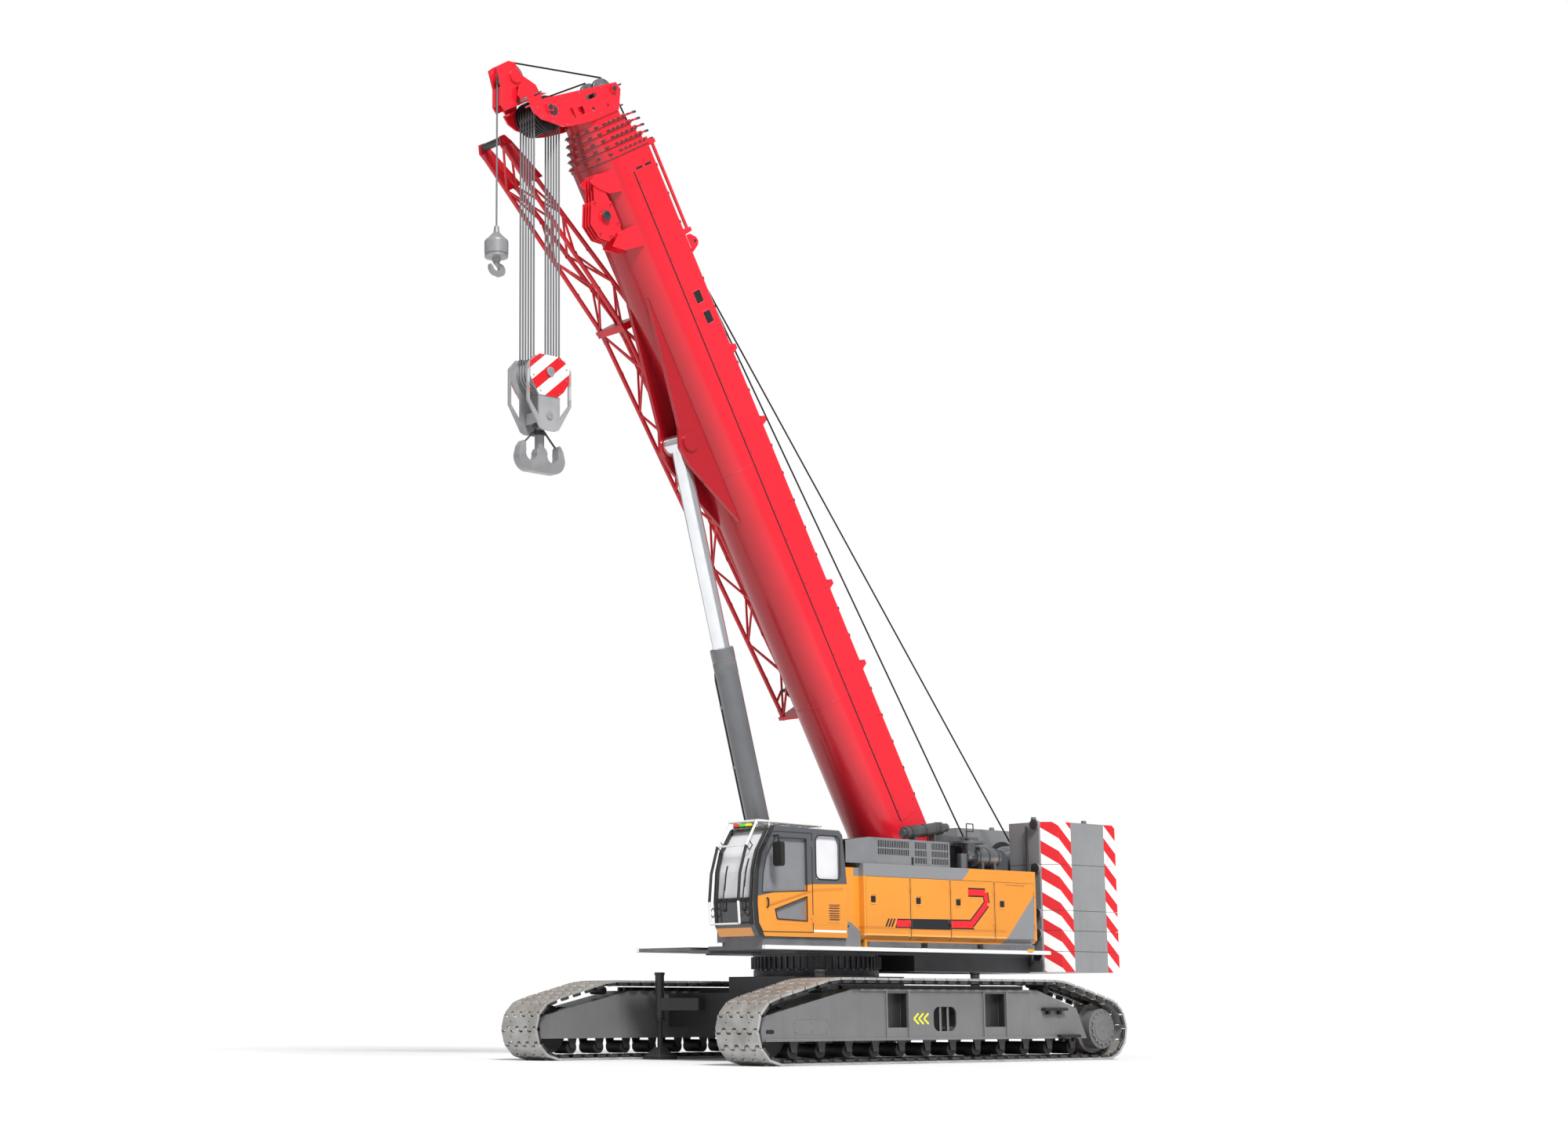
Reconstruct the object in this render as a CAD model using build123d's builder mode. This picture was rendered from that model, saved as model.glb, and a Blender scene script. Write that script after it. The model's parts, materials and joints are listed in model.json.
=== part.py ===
# Telescopic boom crawler crane, full size, millimetres.
# +X is the crane's front, +Y its left (the cab's side), +Z up, the ground at z = 0.
# Places along x are counted from the slewing axis, which stands slew_x from the frame's origin.
from build123d import *
from math import atan2, cos, degrees, hypot, radians, sin
import os

os.makedirs("parts", exist_ok=True)

# ---- driving dimensions -------------------------------------------------------------------
slew_x = -420                  # slewing axis from the frame's origin
seat_gap = 0.3                 # between pieces that seat on each other

# undercarriage
gauge = 5100                   # between the centres of the two tracks
shoe_width = 900
shoe_pitch = 281
shoe_thickness = 60            # plate and its link together with chain_thickness
chain_thickness = 42
shoe_notch = 26                # gap between two shoes, at the ground side
wheel_base = 7510              # idler to drive sprocket
loop_radius = 500              # outer radius of the track round its end wheels
top_run_z = 1290
top_run_half = 2560            # half length of the level top run
top_bend_radius = 620
frame_inner = 2250             # track frame's inner and outer faces, from the middle
frame_outer = 2850
roller_radius = 105
roller_count = 12
roller_front = 3290            # first and last bottom roller
roller_rear = -3100
drive_cap_radius = 325
carbody_half_x = 1250
carbody_half_y = 1150
carbody_top = 1340
carbody_bottom = 430
ring_flange_radius = 1030
ring_tooth_radius = 1075
ring_top = 1660
jack_x = 1800                  # jacks from the slewing axis, along and across
jack_y = 1860
jack_tube_top = 1420
jack_tube_bottom = 640
jack_tube_radius = 75

# superstructure
base_bottom = 1690
base_top = 1790
upper_half = 1500              # half width over the engine house
web_inner = 530                # clear half width between the frame's two webs
web_thickness = 60
foot_x = -2550                 # boom foot pin
foot_z = 3450
foot_pin_radius = 90
deck_z = 1800
cab_inner = 610
cab_outer = 1500
cab_wall = 45
cab_rounding = 28
pane = 8                       # glass
cab_rear = 790
cab_bottom = 1930
cab_top = 3640
roof_fall = 15 / 1479            # slope of the cab's roof towards the rear
house_front = 400
house_rear = -3830
house_bottom = 1915
house_top = 3130
hood_front = 750
hood_rear = -1730
hood_top = 3560
panel = 40                     # engine house wall
door_gap = 6                   # round a door
door_post = 50                 # between two engine doors
hinge_radius = 8
hinge_leaf = 6
hinge_height = 60
ballast_front = -4250
ballast_rear = -6030
ballast_bottom = 1445
ballast_top = 4030
winch_radius = 300

# boom
boom_angle = 59.8              # elevation as it stands
base_length = 13137            # foot pin to the first collar's face
base_start = 260               # rear end of the base section from the foot pin
boom_half = 490                # half width of the base section
boom_top = -22                 # base section's top plate, from the pin's line
boom_box = 690                 # height of the flat sides
boom_wall = 14
section_step = 34              # each inner section is smaller by this on every side
collar_pitch = 120
collar_lip = 16
stroke = 9400                  # of each telescoping section
head_half = 350                # outside of the head's side plates
head_plate = 30
eye_d = 8349                   # lift cylinder's eye on the boom
eye_m = -1517
cylinder_foot_x = 760
cylinder_foot_z = 1950
barrel_radius = 190
rod_radius = 140
barrel_length = 4850
rod_length = 4760

# hoisting gear, distances of the head's pieces from the last collar's face
main_ahead = 360               # main sheaves
sheave_m = -1558
sheave_rim = 285
rope_pitch_radius = 255
rope_radius = 14
sheave_pitch = 68
sheave_count = 6
aux_ahead = 1086               # auxiliary sheave
aux_m = -1832
aux_radius = 250
back_ahead = 333               # sheaves at the head's back
back_m = -120
back_radius = 220
main_lead_y = -238             # the lead line's own groove beside the falls
aux_lead_y = 60
block_z = 10600                # hook block's sheave axle

# ---- places worked out from them -----------------------------------------------------------
ca, sa = cos(radians(boom_angle)), sin(radians(boom_angle))
track_y = gauge / 2
belt = shoe_thickness + chain_thickness
tip = base_length + 5 * collar_pitch             # last collar's face from the foot pin
sheave_d, aux_d, back_d = tip + main_ahead, tip + aux_ahead, tip + back_ahead


def side(y=0):
    """Sketch plane across the crane: x forward, y up."""
    return Plane(origin=(slew_x, y, 0), x_dir=(1, 0, 0), z_dir=(0, -1, 0))


def front(x):
    """Sketch plane that faces forward: x to the crane's left, y up."""
    return Plane(origin=(slew_x + x, 0, 0), x_dir=(0, 1, 0), z_dir=(1, 0, 0))


def level(z):
    return Plane(origin=(slew_x, 0, z))


def along_boom(y=0):
    """Sketch plane of the boom's side: x along it from the foot pin, y to its back."""
    return Plane(origin=(slew_x + foot_x, y, foot_z), x_dir=(ca, 0, sa), z_dir=(0, -1, 0))


def across_boom(d):
    """Sketch plane square to the boom: x to the crane's left, y to the boom's back."""
    origin = (slew_x + foot_x + d * ca, 0, foot_z + d * sa)
    return Plane(origin=origin, x_dir=(0, 1, 0), z_dir=(ca, 0, sa))


def boom_point(d, m):
    """x from the slewing axis and z of a point of the boom's side plane."""
    return foot_x + d * ca - m * sa, foot_z + d * sa + m * ca


def block(x_span, y_span, z_span, mode=Mode.ADD):
    centre = [(a + b) / 2 for a, b in (x_span, y_span, z_span)]
    size = [abs(b - a) for a, b in (x_span, y_span, z_span)]
    with Locations((slew_x + centre[0], centre[1], centre[2])):
        Box(*size, mode=mode)


def plate(points, y_span, plane_at=side, mode=Mode.ADD):
    """Plate with a straight outline, between two distances to the left."""
    with BuildSketch(plane_at(sum(y_span) / 2)) as outline:
        Polygon(*points, align=None)
    extrude(outline.sketch, amount=abs(y_span[1] - y_span[0]) / 2, both=True, mode=mode)


def disc(x, z, radius, y_span, plane_at=side, mode=Mode.ADD):
    with BuildSketch(plane_at(sum(y_span) / 2)) as outline:
        with Locations((x, z)):
            Circle(radius)
    extrude(outline.sketch, amount=abs(y_span[1] - y_span[0]) / 2, both=True, mode=mode)


def rod(start, end, radius, mode=Mode.ADD):
    """Round bar between two points, x counted from the slewing axis."""
    a = Vector(start[0] + slew_x, start[1], start[2])
    b = Vector(end[0] + slew_x, end[1], end[2])
    with BuildSketch(Plane(origin=a, z_dir=b - a)) as outline:
        Circle(radius)
    extrude(outline.sketch, amount=(b - a).length, mode=mode)


def finish(piece, name):
    piece.part.label = name
    export_step(piece.part, f"parts/{name}.step")


sides = (("left", 1), ("right", -1))

# ---- undercarriage ---------------------------------------------------------------------------
track_in = belt                                  # inner face of the belt above the ground
end_radius = loop_radius - belt                  # of the wheels that the belt runs round


def belt_outline(shrink):
    """Track loop, x and z as the sketch's own axes: two end wheels and two bends, hulled."""
    with BuildSketch() as loop:
        with BuildLine():
            for x in (-wheel_base / 2, wheel_base / 2):
                CenterArc((x, loop_radius), loop_radius - shrink, 0, 360)
            for x in (-top_run_half, top_run_half):
                CenterArc((x, top_run_z - top_bend_radius), top_bend_radius - shrink, 0, 360)
        make_hull()
    return loop.sketch


outer_loop = belt_outline(0)
inner_loop = belt_outline(belt)
loop_wire = outer_loop.faces()[0].outer_wire()
shoe_count = round(loop_wire.length / shoe_pitch)

for name, s in sides:
    y_mid = s * track_y
    with BuildPart() as track:
        with BuildSketch(side(y_mid)) as loop:
            add(outer_loop)
            add(inner_loop, mode=Mode.SUBTRACT)
        extrude(amount=shoe_width / 2, both=True)
        with BuildSketch(side(y_mid)) as notches:
            for i in range(shoe_count):
                t = (i + 0.5) / shoe_count
                p = loop_wire.position_at(t)
                tangent = loop_wire.tangent_at(t)
                tilt = degrees(atan2(tangent.Y, tangent.X))
                with Locations(Location((p.X, p.Y, 0), tilt)):
                    Rectangle(shoe_notch, shoe_thickness)
        extrude(amount=shoe_width / 2 + 1, both=True, mode=Mode.SUBTRACT)
    finish(track, f"track_{name}")

roller_x = [roller_front + (roller_rear - roller_front) * i / (roller_count - 1) for i in range(roller_count)]
rib = 25                                         # flanges and ribs on the frame's outer face
frame_line = [
    (4030, 350), (4030, 690), (3900, 730), (2090, 1120), (-2150, 1120), (-3130, 835), (-3380, 350),
]
for name, s in sides:
    with BuildPart() as track_frame:
        plate(frame_line, (s * frame_inner, s * frame_outer))
        block((3300, 4100), (s * (track_y - 130), s * (track_y + 130)), (300, 1200), mode=Mode.SUBTRACT)
        plate([(-3380, 350), (-3130, 835), (-4000, 760), (-4120, 500), (-4000, 250), (-3380, 250)],
              (s * frame_inner, s * (track_y - 130)))
        for x0, x1 in ((905, 1371), (-1372, -859)):
            block((x0, x1), (s * (frame_outer - 150), s * (frame_outer + 1)), (420, 1060), mode=Mode.SUBTRACT)
            block((x0, x1), (s * (frame_outer - 150), s * frame_outer), (420, 540))
            for x in (x0 - 15, x1 + 15):
                block((x - 15, x + 15), (s * frame_outer, s * (frame_outer + rib)), (385, 1090))
        with BuildSketch(side(s * frame_outer)) as window:
            with Locations((56, 668)):
                RectangleRounded(528, 374, 120)
        extrude(amount=160, both=True, mode=Mode.SUBTRACT)
        for x in (-30, 142):
            block((x - 22, x + 22), (s * (frame_outer - 60), s * (frame_outer - 20)), (481, 855))
        block((-3300, 3960), (s * frame_outer, s * (frame_outer + rib)), (350, 385))
        block((-1980, 1960), (s * (frame_outer - 5), s * (frame_outer + rib)), (1090, 1120))
        for y in (track_y - 70, track_y + 70):
            block((-2050, 2050), (s * (y - 25), s * (y + 25)), (1120, top_run_z - belt - 6))
        for x in roller_x:
            for y in (track_y - 210, track_y + 210):
                plate([(x - 85, 350), (x + 85, 350), (x + 45, 190), (x - 45, 190)],
                      (s * (y - 15), s * (y + 15)))
    finish(track_frame, f"track_frame_{name}")

with BuildPart() as idlers:
    for name, s in sides:
        disc(wheel_base / 2, loop_radius, end_radius - seat_gap, (s * (track_y - 120), s * (track_y + 120)))
        disc(wheel_base / 2, loop_radius, 90, (s * (track_y - 130), s * (track_y + 130)))
finish(idlers, "idlers")

with BuildPart() as final_drives:
    for name, s in sides:
        disc(-wheel_base / 2, loop_radius, end_radius - seat_gap, (s * (track_y - 130), s * (track_y + 110)))
        disc(-wheel_base / 2, loop_radius, drive_cap_radius, (s * (track_y + 110), s * (frame_outer + 10)))
        disc(-wheel_base / 2, loop_radius, 250, (s * (frame_outer + 10), s * (frame_outer + 30)))
finish(final_drives, "final_drives")

with BuildPart() as rollers:
    for name, s in sides:
        for x in roller_x:
            disc(x, belt + roller_radius + seat_gap, roller_radius,
                 (s * (track_y - 190), s * (track_y + 190)))
        for x in (-top_run_half, top_run_half):
            disc(x, top_run_z - belt - 65 - seat_gap, 65, (s * (track_y - 150), s * (track_y + 150)))
finish(rollers, "track_rollers")

with BuildPart() as carbody:
    with BuildSketch(level(carbody_bottom + 200)):
        Rectangle(2 * carbody_half_x, 2 * carbody_half_y)
        chamfer(vertices(), 380)
    extrude(amount=carbody_top - carbody_bottom - 200)
    with BuildSketch(level(carbody_bottom)):
        Rectangle(2 * carbody_half_x - 500, 2 * carbody_half_y - 200)
    extrude(amount=200)
    for x in (-carbody_half_x + 260, carbody_half_x - 260):
        block((x - 260, x + 260), (-frame_inner, frame_inner), (520, 1080))
finish(carbody, "carbody")

with BuildPart() as ring:
    with BuildSketch(level(carbody_top)):
        Circle(ring_flange_radius)
    extrude(amount=100)
    with BuildSketch(level(carbody_top + 100)):
        Circle(ring_flange_radius - 40)
    extrude(amount=30)
    with BuildSketch(level(carbody_top + 130)):
        Circle(ring_tooth_radius - 45)
        with PolarLocations(ring_tooth_radius - 40, 60):
            Trapezoid(60, 70, 75, rotation=-90)
    extrude(amount=ring_top - carbody_top - 130)
finish(ring, "slewing_ring")

corners = [(sx, sy) for sx in (1, -1) for sy in (1, -1)]
with BuildPart() as jacks:
    for sx, sy in corners:
        rod((sx * jack_x, sy * jack_y, jack_tube_bottom), (sx * jack_x, sy * jack_y, jack_tube_top),
            jack_tube_radius)
        with BuildSketch(level(800)):
            Polygon((sx * (carbody_half_x + seat_gap), sy * 1350), (sx * (carbody_half_x + 150), sy * 1350),
                    (sx * (jack_x + 60), sy * (jack_y - 40)), (sx * (jack_x - 60), sy * (jack_y + 40)),
                    (sx * (carbody_half_x + seat_gap), sy * 1600), align=None)
        extrude(amount=200)
finish(jacks, "jack_arms")

with BuildPart() as feet:
    for sx, sy in corners:
        rod((sx * jack_x, sy * jack_y, 200), (sx * jack_x, sy * jack_y, jack_tube_bottom - seat_gap), 45)
        with BuildSketch(Plane(origin=(slew_x + sx * jack_x, sy * jack_y, 60))):
            Rectangle(340, 340)
        with BuildSketch(Plane(origin=(slew_x + sx * jack_x, sy * jack_y, 200))):
            Rectangle(130, 130)
        loft()
        block((sx * jack_x - 240, sx * jack_x + 240), (sy * jack_y - 60, sy * jack_y + 60), (1, 2),
              mode=Mode.SUBTRACT)
        with BuildSketch(Plane(origin=(slew_x + sx * jack_x, sy * jack_y, 0))):
            Rectangle(400, 400)
        extrude(amount=60)
finish(feet, "jack_feet")

# ---- superstructure ----------------------------------------------------------------------------
belly_z = 1430                                   # the lower frame passes over tracks and jacks
foot_boss = barrel_radius + 20                   # the cylinder's foot between its two bosses
barrel_pass = cylinder_foot_z - barrel_radius - 20      # the lowered cylinder's underside clears this
web_line = [
    (1250, base_top), (1250, 2330), (300, 2450), (-1500, 3250), (-2250, 3720), (-2850, 3720),
    (-3000, 3560), (-4060, 3560), (-4200, 3450), (-4200, base_top),
]
with BuildPart() as turntable:
    with BuildSketch(level(ring_top)):
        Circle(ring_tooth_radius - 40)
    extrude(amount=base_bottom - ring_top)
    block((-4200, 1500), (-1050, 1050), (base_bottom, base_top))
    block((450, 1501), (-barrel_radius - 25, barrel_radius + 25), (barrel_pass, base_top + 1),
          mode=Mode.SUBTRACT)
    for name, s in sides:
        plate(web_line, (s * web_inner, s * (web_inner + web_thickness)))
        disc(foot_x, foot_z, 230, (s * web_inner, s * (web_inner + web_thickness + 40)))
        disc(cylinder_foot_x, cylinder_foot_z, 130, (s * foot_boss, s * web_inner))
        block((-4200, -1292), (s * 700, s * 1000), (belly_z, base_bottom))
    block((-4200, -4140), (-web_inner, web_inner), (base_top, 2500))
    for x in (-4200, -2700, -1352):
        block((x, x + 60), (-700, 700), (belly_z, base_bottom))
finish(turntable, "turntable_frame")

with BuildPart() as deck:
    for x_span, y_span in (
        ((-4180, 2620), (1060, upper_half)),
        ((-4180, 2620), (-upper_half, -1060)),
        ((1510, 2620), (-1060, 1060)),
    ):
        block(x_span, y_span, (base_top - 60, base_top))
    block((1509, 2621), (-barrel_radius - 25, barrel_radius + 25), (barrel_pass, base_top + 1),
          mode=Mode.SUBTRACT)
    block((1510, 2620), (-barrel_radius - 45, barrel_radius + 45), (base_bottom, barrel_pass))
    block((800, 2620), (cab_inner, cab_outer - 40), (base_top, cab_bottom - seat_gap))
    for rear, fore in ((-914, 286), (-2284, -1083), (-3760, -2440)):
        for s in (1, -1):
            block((rear, fore), (s * (upper_half - 55), s * upper_half), (base_top, 1889))
finish(deck, "deck_plates")

cab_line = [
    (cab_rear, cab_bottom), (2737, cab_bottom), (2835, 2097), (2862, 2455), (2820, 2937), (2731, 3242),
    (2488, 3604), (2419, cab_top), (940, cab_top - roof_fall * 1479), (cab_rear + 80, cab_top - 85),
    (cab_rear - 6, 2761),
]


def cab_outline(shrink=0.0):
    """Side view of the cab, x and z as the sketch's own axes."""
    with BuildSketch() as outline:
        Polygon(*cab_line, align=None)
        fillet(outline.vertices(), cab_rounding)
        if shrink:
            offset(amount=-shrink, kind=Kind.INTERSECTION, mode=Mode.REPLACE)
    return outline.sketch


def knuckle(x, face, z_low, toward):
    """Half of a hinge with an upright pin: one knuckle and its leaf, on the side `toward` along x."""
    block((x, x + toward * 40), (face, face + hinge_leaf), (z_low, z_low + hinge_height))
    with BuildSketch(level(z_low)) as eye:
        with Locations((x, face + hinge_radius)):
            Circle(hinge_radius)
    extrude(eye.sketch, amount=hinge_height)


cab_mid = (cab_inner + cab_outer) / 2
cab_hinge_x = 1565
door_front = [(2660, 2000), (2745, 2130), (2772, 2455), (2732, 2925), (2648, 3212), (2420, 3555)]
hinge_z = (2150, 3300)
with BuildPart() as cab:
    with BuildSketch(side(cab_mid)) as shell:
        add(cab_outline())
    extrude(amount=(cab_outer - cab_inner) / 2, both=True)
    with BuildSketch(side(cab_mid)) as room:
        add(cab_outline(cab_wall))
    extrude(amount=(cab_outer - cab_inner) / 2 - cab_wall, both=True, mode=Mode.SUBTRACT)
    plate([(cab_hinge_x - 5, 2000), *door_front, (cab_hinge_x - 5, 3560)],
          (cab_outer - cab_wall - 1, cab_outer + 1), mode=Mode.SUBTRACT)
    plate([(1472, 2843), (942, 2843), (942, 3400), (1000, 3527), (1472, 3527)],
          (cab_outer - cab_wall - 1, cab_outer + 1), mode=Mode.SUBTRACT)
    plate([(1472, 2600), (942, 2600), (942, 3527), (1472, 3527)],
          (cab_inner - 1, cab_inner + cab_wall + 1), mode=Mode.SUBTRACT)
    block((2300, 3000), (cab_inner + 60, cab_outer - 60), (2520, 3560), mode=Mode.SUBTRACT)
    for i in range(6):
        block((954, 1204), (cab_outer - 14, cab_outer + 1), (2205 + 44 * i, 2227 + 44 * i),
              mode=Mode.SUBTRACT)
    for z in hinge_z:
        knuckle(cab_hinge_x, cab_outer, z, -1)
finish(cab, "cab_shell")

door_windows = (
    [(1684, 2650), (2660, 2600), (2632, 2912), (2556, 3175), (2360, 3461), (1684, 3461)],
    [(1684, 2180), (2340, 2200), (2380, 2348), (1684, 2560)],
)
with BuildPart() as cab_door:
    with BuildSketch(side(cab_outer - cab_wall / 2)) as door_sketch:
        Polygon((cab_hinge_x - 5, 2000), *door_front, (cab_hinge_x - 5, 3560), align=None)
        offset(amount=-door_gap, kind=Kind.INTERSECTION, mode=Mode.REPLACE)
    extrude(amount=cab_wall / 2, both=True)
    plate([(2500, 2400), (1610, 2640), (1610, 2130), (2410, 2135)], (cab_outer - 8, cab_outer + 1),
          mode=Mode.SUBTRACT)
    block((2560, 2615), (cab_outer - 14, cab_outer + 1), (2370, 2525), mode=Mode.SUBTRACT)
    for window in door_windows:
        plate(window, (cab_outer - cab_wall - 1, cab_outer + 1), mode=Mode.SUBTRACT)
    for z in hinge_z:
        knuckle(cab_hinge_x, cab_outer, z + hinge_height + seat_gap, 1)
finish(cab_door, "cab_door")

with BuildPart() as interior:
    block((1050, 1500), (850, 1250), (1975, 2330 - seat_gap))
    plate([(1203 + seat_gap, 2330), (1560, 2330), (1600, 2440), (1580, 2480), (1180 + seat_gap, 2450)],
          (790, 1310))
    plate([(1000, 2330), (1203, 2330), (1080, 2960), (1000, 3060), (900, 3040), (960, 2480)], (790, 1310))
    plate([(990, 3058 + seat_gap), (960, 3230), (900, 3220), (930, 3046 + seat_gap)], (900, 1200))
    block((2400, 2540), (980, 1120), (1975, 2040))
    rod((2470, 1050, 2020), (2400, 1050, 2540), 45)
    rod((2405, 1050, 2500), (2370, 1050, 2550), 160)
    for y in (720, 1361):
        block((1150, 1750), (y - 50, y + 50), (1975, 2560))
finish(interior, "cab_interior")

door_x = (house_front - 25, -690, -1660, -2759, house_rear + 25)   # middles of the posts
doors = [(rear + door_post / 2, fore - door_post / 2) for fore, rear in zip(door_x, door_x[1:])]
door_z = (house_bottom + panel + 20, house_top - 200)
house_inner = web_inner + web_thickness + 20
with BuildPart() as house:
    block((house_rear, house_front), (house_inner, upper_half), (house_bottom, house_top))
    block((house_rear + panel, house_front - panel), (house_inner + panel, upper_half - panel),
          (house_bottom + panel, house_top - panel), mode=Mode.SUBTRACT)
    for rear, fore in doors:
        block((rear, fore), (upper_half - panel - 1, upper_half + 1), door_z, mode=Mode.SUBTRACT)
        for z in (2150, 2700):
            knuckle(rear + door_gap / 2, upper_half, z, -1)
    with BuildSketch(front(house_front + 1)) as bevel:
        Polygon((upper_half - 60, house_bottom - 1), (upper_half + 1, house_bottom - 1),
                (upper_half + 1, house_bottom + 60), align=None)
    extrude(bevel.sketch, amount=-(house_front - house_rear + 2), mode=Mode.SUBTRACT)
    block((house_front - panel, cab_rear - 30), (house_inner, upper_half - 110),
          (house_bottom, house_top - 70))
    block((house_front - panel - 1, cab_rear - 30 - panel), (house_inner + panel, upper_half - 110 - panel),
          (house_bottom + panel, house_top - 70 - panel), mode=Mode.SUBTRACT)
    block((house_rear + 60, house_front - 60), (1000, upper_half - 60), (base_top, house_bottom))
finish(house, "engine_house")

pocket_in = 160                 # handle pocket's middle from the door's front edge
rear_press = [(-3060, 2894), (-3540, 2887), (-3430, 2618), (-3060, 2300)]
for i, (rear, fore) in enumerate(doors, start=1):
    with BuildPart() as door:
        block((rear + door_gap, fore - door_gap), (upper_half - panel, upper_half),
              (door_z[0] + door_gap, door_z[1] - door_gap))
        with BuildSketch(side(upper_half)) as pocket:
            with Locations((fore - pocket_in, 2562)):
                RectangleRounded(100, 100, 18)
        extrude(pocket.sketch, amount=16, both=True, mode=Mode.SUBTRACT)
        if i == len(doors):
            plate(rear_press, (upper_half - 12, upper_half + 1), mode=Mode.SUBTRACT)
        for z in (2150, 2700):
            knuckle(rear + door_gap / 2, upper_half, z + hinge_height + seat_gap, 1)
    finish(door, f"engine_door_{i}")

with BuildPart() as engine:
    block((-3400, -1900), (760, 1330), (house_bottom + panel, 2850))
finish(engine, "engine_block")

sheet = 12
hood_y = (web_inner + web_thickness + 60, upper_half - 50)
hood_line = [(hood_rear, house_top), (hood_rear, hood_top - 10), (200, hood_top),
             (hood_front, hood_top - 70), (hood_front, house_top)]
louvres = (                    # fore, rear, slots, rows of (low, high)
    (5, -741, 18, ((3410, 3520), (3290, 3385))),
    (-875, -1163, 8, ((3410, 3520), (3290, 3385), (3170, 3265))),
    (-1283, -1694, 11, ((3410, 3520), (3290, 3385), (3170, 3265))),
)
with BuildPart() as hood:
    plate(hood_line, hood_y)
    plate([(hood_rear + sheet, house_top - 1), (hood_rear + sheet, hood_top - 10 - sheet),
           (200, hood_top - sheet), (hood_front - sheet, hood_top - 70 - sheet),
           (hood_front - sheet, house_top - 1)], (hood_y[0] + sheet, hood_y[1] - sheet), mode=Mode.SUBTRACT)
    for fore, rear, count, rows in louvres:
        width = (fore - rear) / count
        for i in range(count):
            x = rear + width * (i + 0.5)
            for z0, z1 in rows:
                block((x - width * 0.28, x + width * 0.28), (hood_y[1] - sheet - 1, hood_y[1] + 1), (z0, z1),
                      mode=Mode.SUBTRACT)
finish(hood, "louvre_hood")

with BuildPart() as right_house:
    block((house_rear, 250), (-upper_half, -house_inner), (house_bottom, 2950))
    block((250, 820), (-upper_half, -house_inner), (house_bottom, 2640))
    block((house_rear + 60, 760), (-upper_half + 60, -1000), (base_top, house_bottom))
finish(right_house, "right_house")

with BuildPart() as muffler:
    rod((-1230, 900, 3715), (-2130, 900, 3835), 105)
    rod((-1171, 900, 3707), (-2275, 900, 3854), 70)
    rod((-2140, 900, 3836), (-2280, 900, 3855), 60, mode=Mode.SUBTRACT)
    for x in (-1450, -1930):
        block((x - 25, x + 25), (840, 960), (house_top if x < hood_rear else hood_top - 8, 3720))
finish(muffler, "muffler")

with BuildPart() as cleaner:
    rod((-2610, 1150, 3360), (-3169, 1150, 3360), 170)
    rod((-2442, 1150, 3360), (-2610, 1150, 3360), 95)
    rod((-2370, 1150, 3400), (-2370, 1150, house_top), 90)
    rod((-3169, 1150, 3360), (-3200, 1150, 3360), 150)
    rod((-2553, 1150, 3360), (-2553, 1150, 3590), 110)
    rod((-2553, 1150, 3572), (-2553, 1150, 3612), 270)
    for x in (-2740, -3050):
        block((x - 25, x + 25), (1010, 1290), (house_top, 3300))
    block((-3136, -2076), (house_inner + 20, 860), (3560, 3720))
    for x in (-3060, -2150):
        block((x - 30, x + 30), (house_inner + 40, 840), (house_top, 3560))
finish(cleaner, "air_cleaner")

winches = (("aux", -3660, 3240), ("main", -5153, 3404))
with BuildPart() as winch:
    for name, x, z in winches:
        disc(x, z, winch_radius, (-320, 320))
        for s in (1, -1):
            disc(x, z, winch_radius + 90, (s * 320, s * 350))
            plate([(x - 260, 2560), (x + 260, 2560), (x + 180, z + 60), (x - 180, z + 60)],
                  (s * 380, s * 440))
            disc(x, z, 120, (s * 350, s * 380))
    block((-5500, -3300), (-440, 440), (2500, 2560))
finish(winch, "winches")

ballast_chamfer = 240           # the front corners' bevel, seen from above
slab_gap = 8
lower_slabs = (ballast_bottom, 1801, 2155, 2500)      # joints between the slabs under the winches
upper_slabs = (2500, 3291, ballast_top)
lug_z = (1718, 2096, 2446, 3220, 3977)


def slab(z_span, inner, s):
    """Half of a slab from above, from `inner` to the outside, on the side s."""
    with BuildSketch(level(z_span[0])) as plan:
        Polygon((ballast_rear, s * inner), (ballast_rear, s * upper_half),
                (ballast_front - ballast_chamfer, s * upper_half),
                (ballast_front, s * (upper_half - ballast_chamfer)), (ballast_front, s * inner),
                align=None)
    extrude(plan.sketch, amount=z_span[1] - z_span[0])


with BuildPart() as ballast:
    for spans, inner in ((lower_slabs, 0), (upper_slabs, 600)):
        for z0, z1 in zip(spans, spans[1:]):
            for s in (1, -1):
                slab((z0, z1 - slab_gap), inner, s)
                if z1 < ballast_top:
                    block((ballast_rear + 30, ballast_front - 290), (s * (inner + 30), s * (upper_half - 30)),
                          (z1 - slab_gap, z1))
    for s in (1, -1):
        for z in lug_z:
            rod((ballast_front - 20, s * 1203, z), (ballast_front + 60, s * 1203, z), 80)
        for x in (-4360, -5727):
            rod((x, s * 1067, ballast_top - slab_gap), (x, s * 1067, ballast_top + 90), 42)
    block((ballast_front, -4200.3), (-900, 900), (base_bottom, 2150))
finish(ballast, "counterweight")

# ---- boom -----------------------------------------------------------------------------------------


def boom_section(k, grow=0.0):
    """Closed outline of telescoping section k (0 is the base), grown outwards by `grow`."""
    half = boom_half - k * section_step + grow
    top = boom_top - k * section_step + grow
    side_low = boom_top - boom_box
    depth = half
    with BuildSketch() as outline:
        with BuildLine():
            Polyline((-half, side_low), (-half, top), (half, top), (half, side_low))
            ThreePointArc((half, side_low), (0, side_low - depth), (-half, side_low))
        make_face()
    return outline.sketch


def prongs(k, d, s):
    """The stud that stands on the back of section k's head, on the side s."""
    y = s * (boom_half - k * section_step - 30)
    x0, z0 = boom_point(d, boom_top - k * section_step - boom_wall)
    x1, z1 = boom_point(d - 16, 148)
    rod((x0, y, z0), (x1, y, z1), 17)


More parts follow.
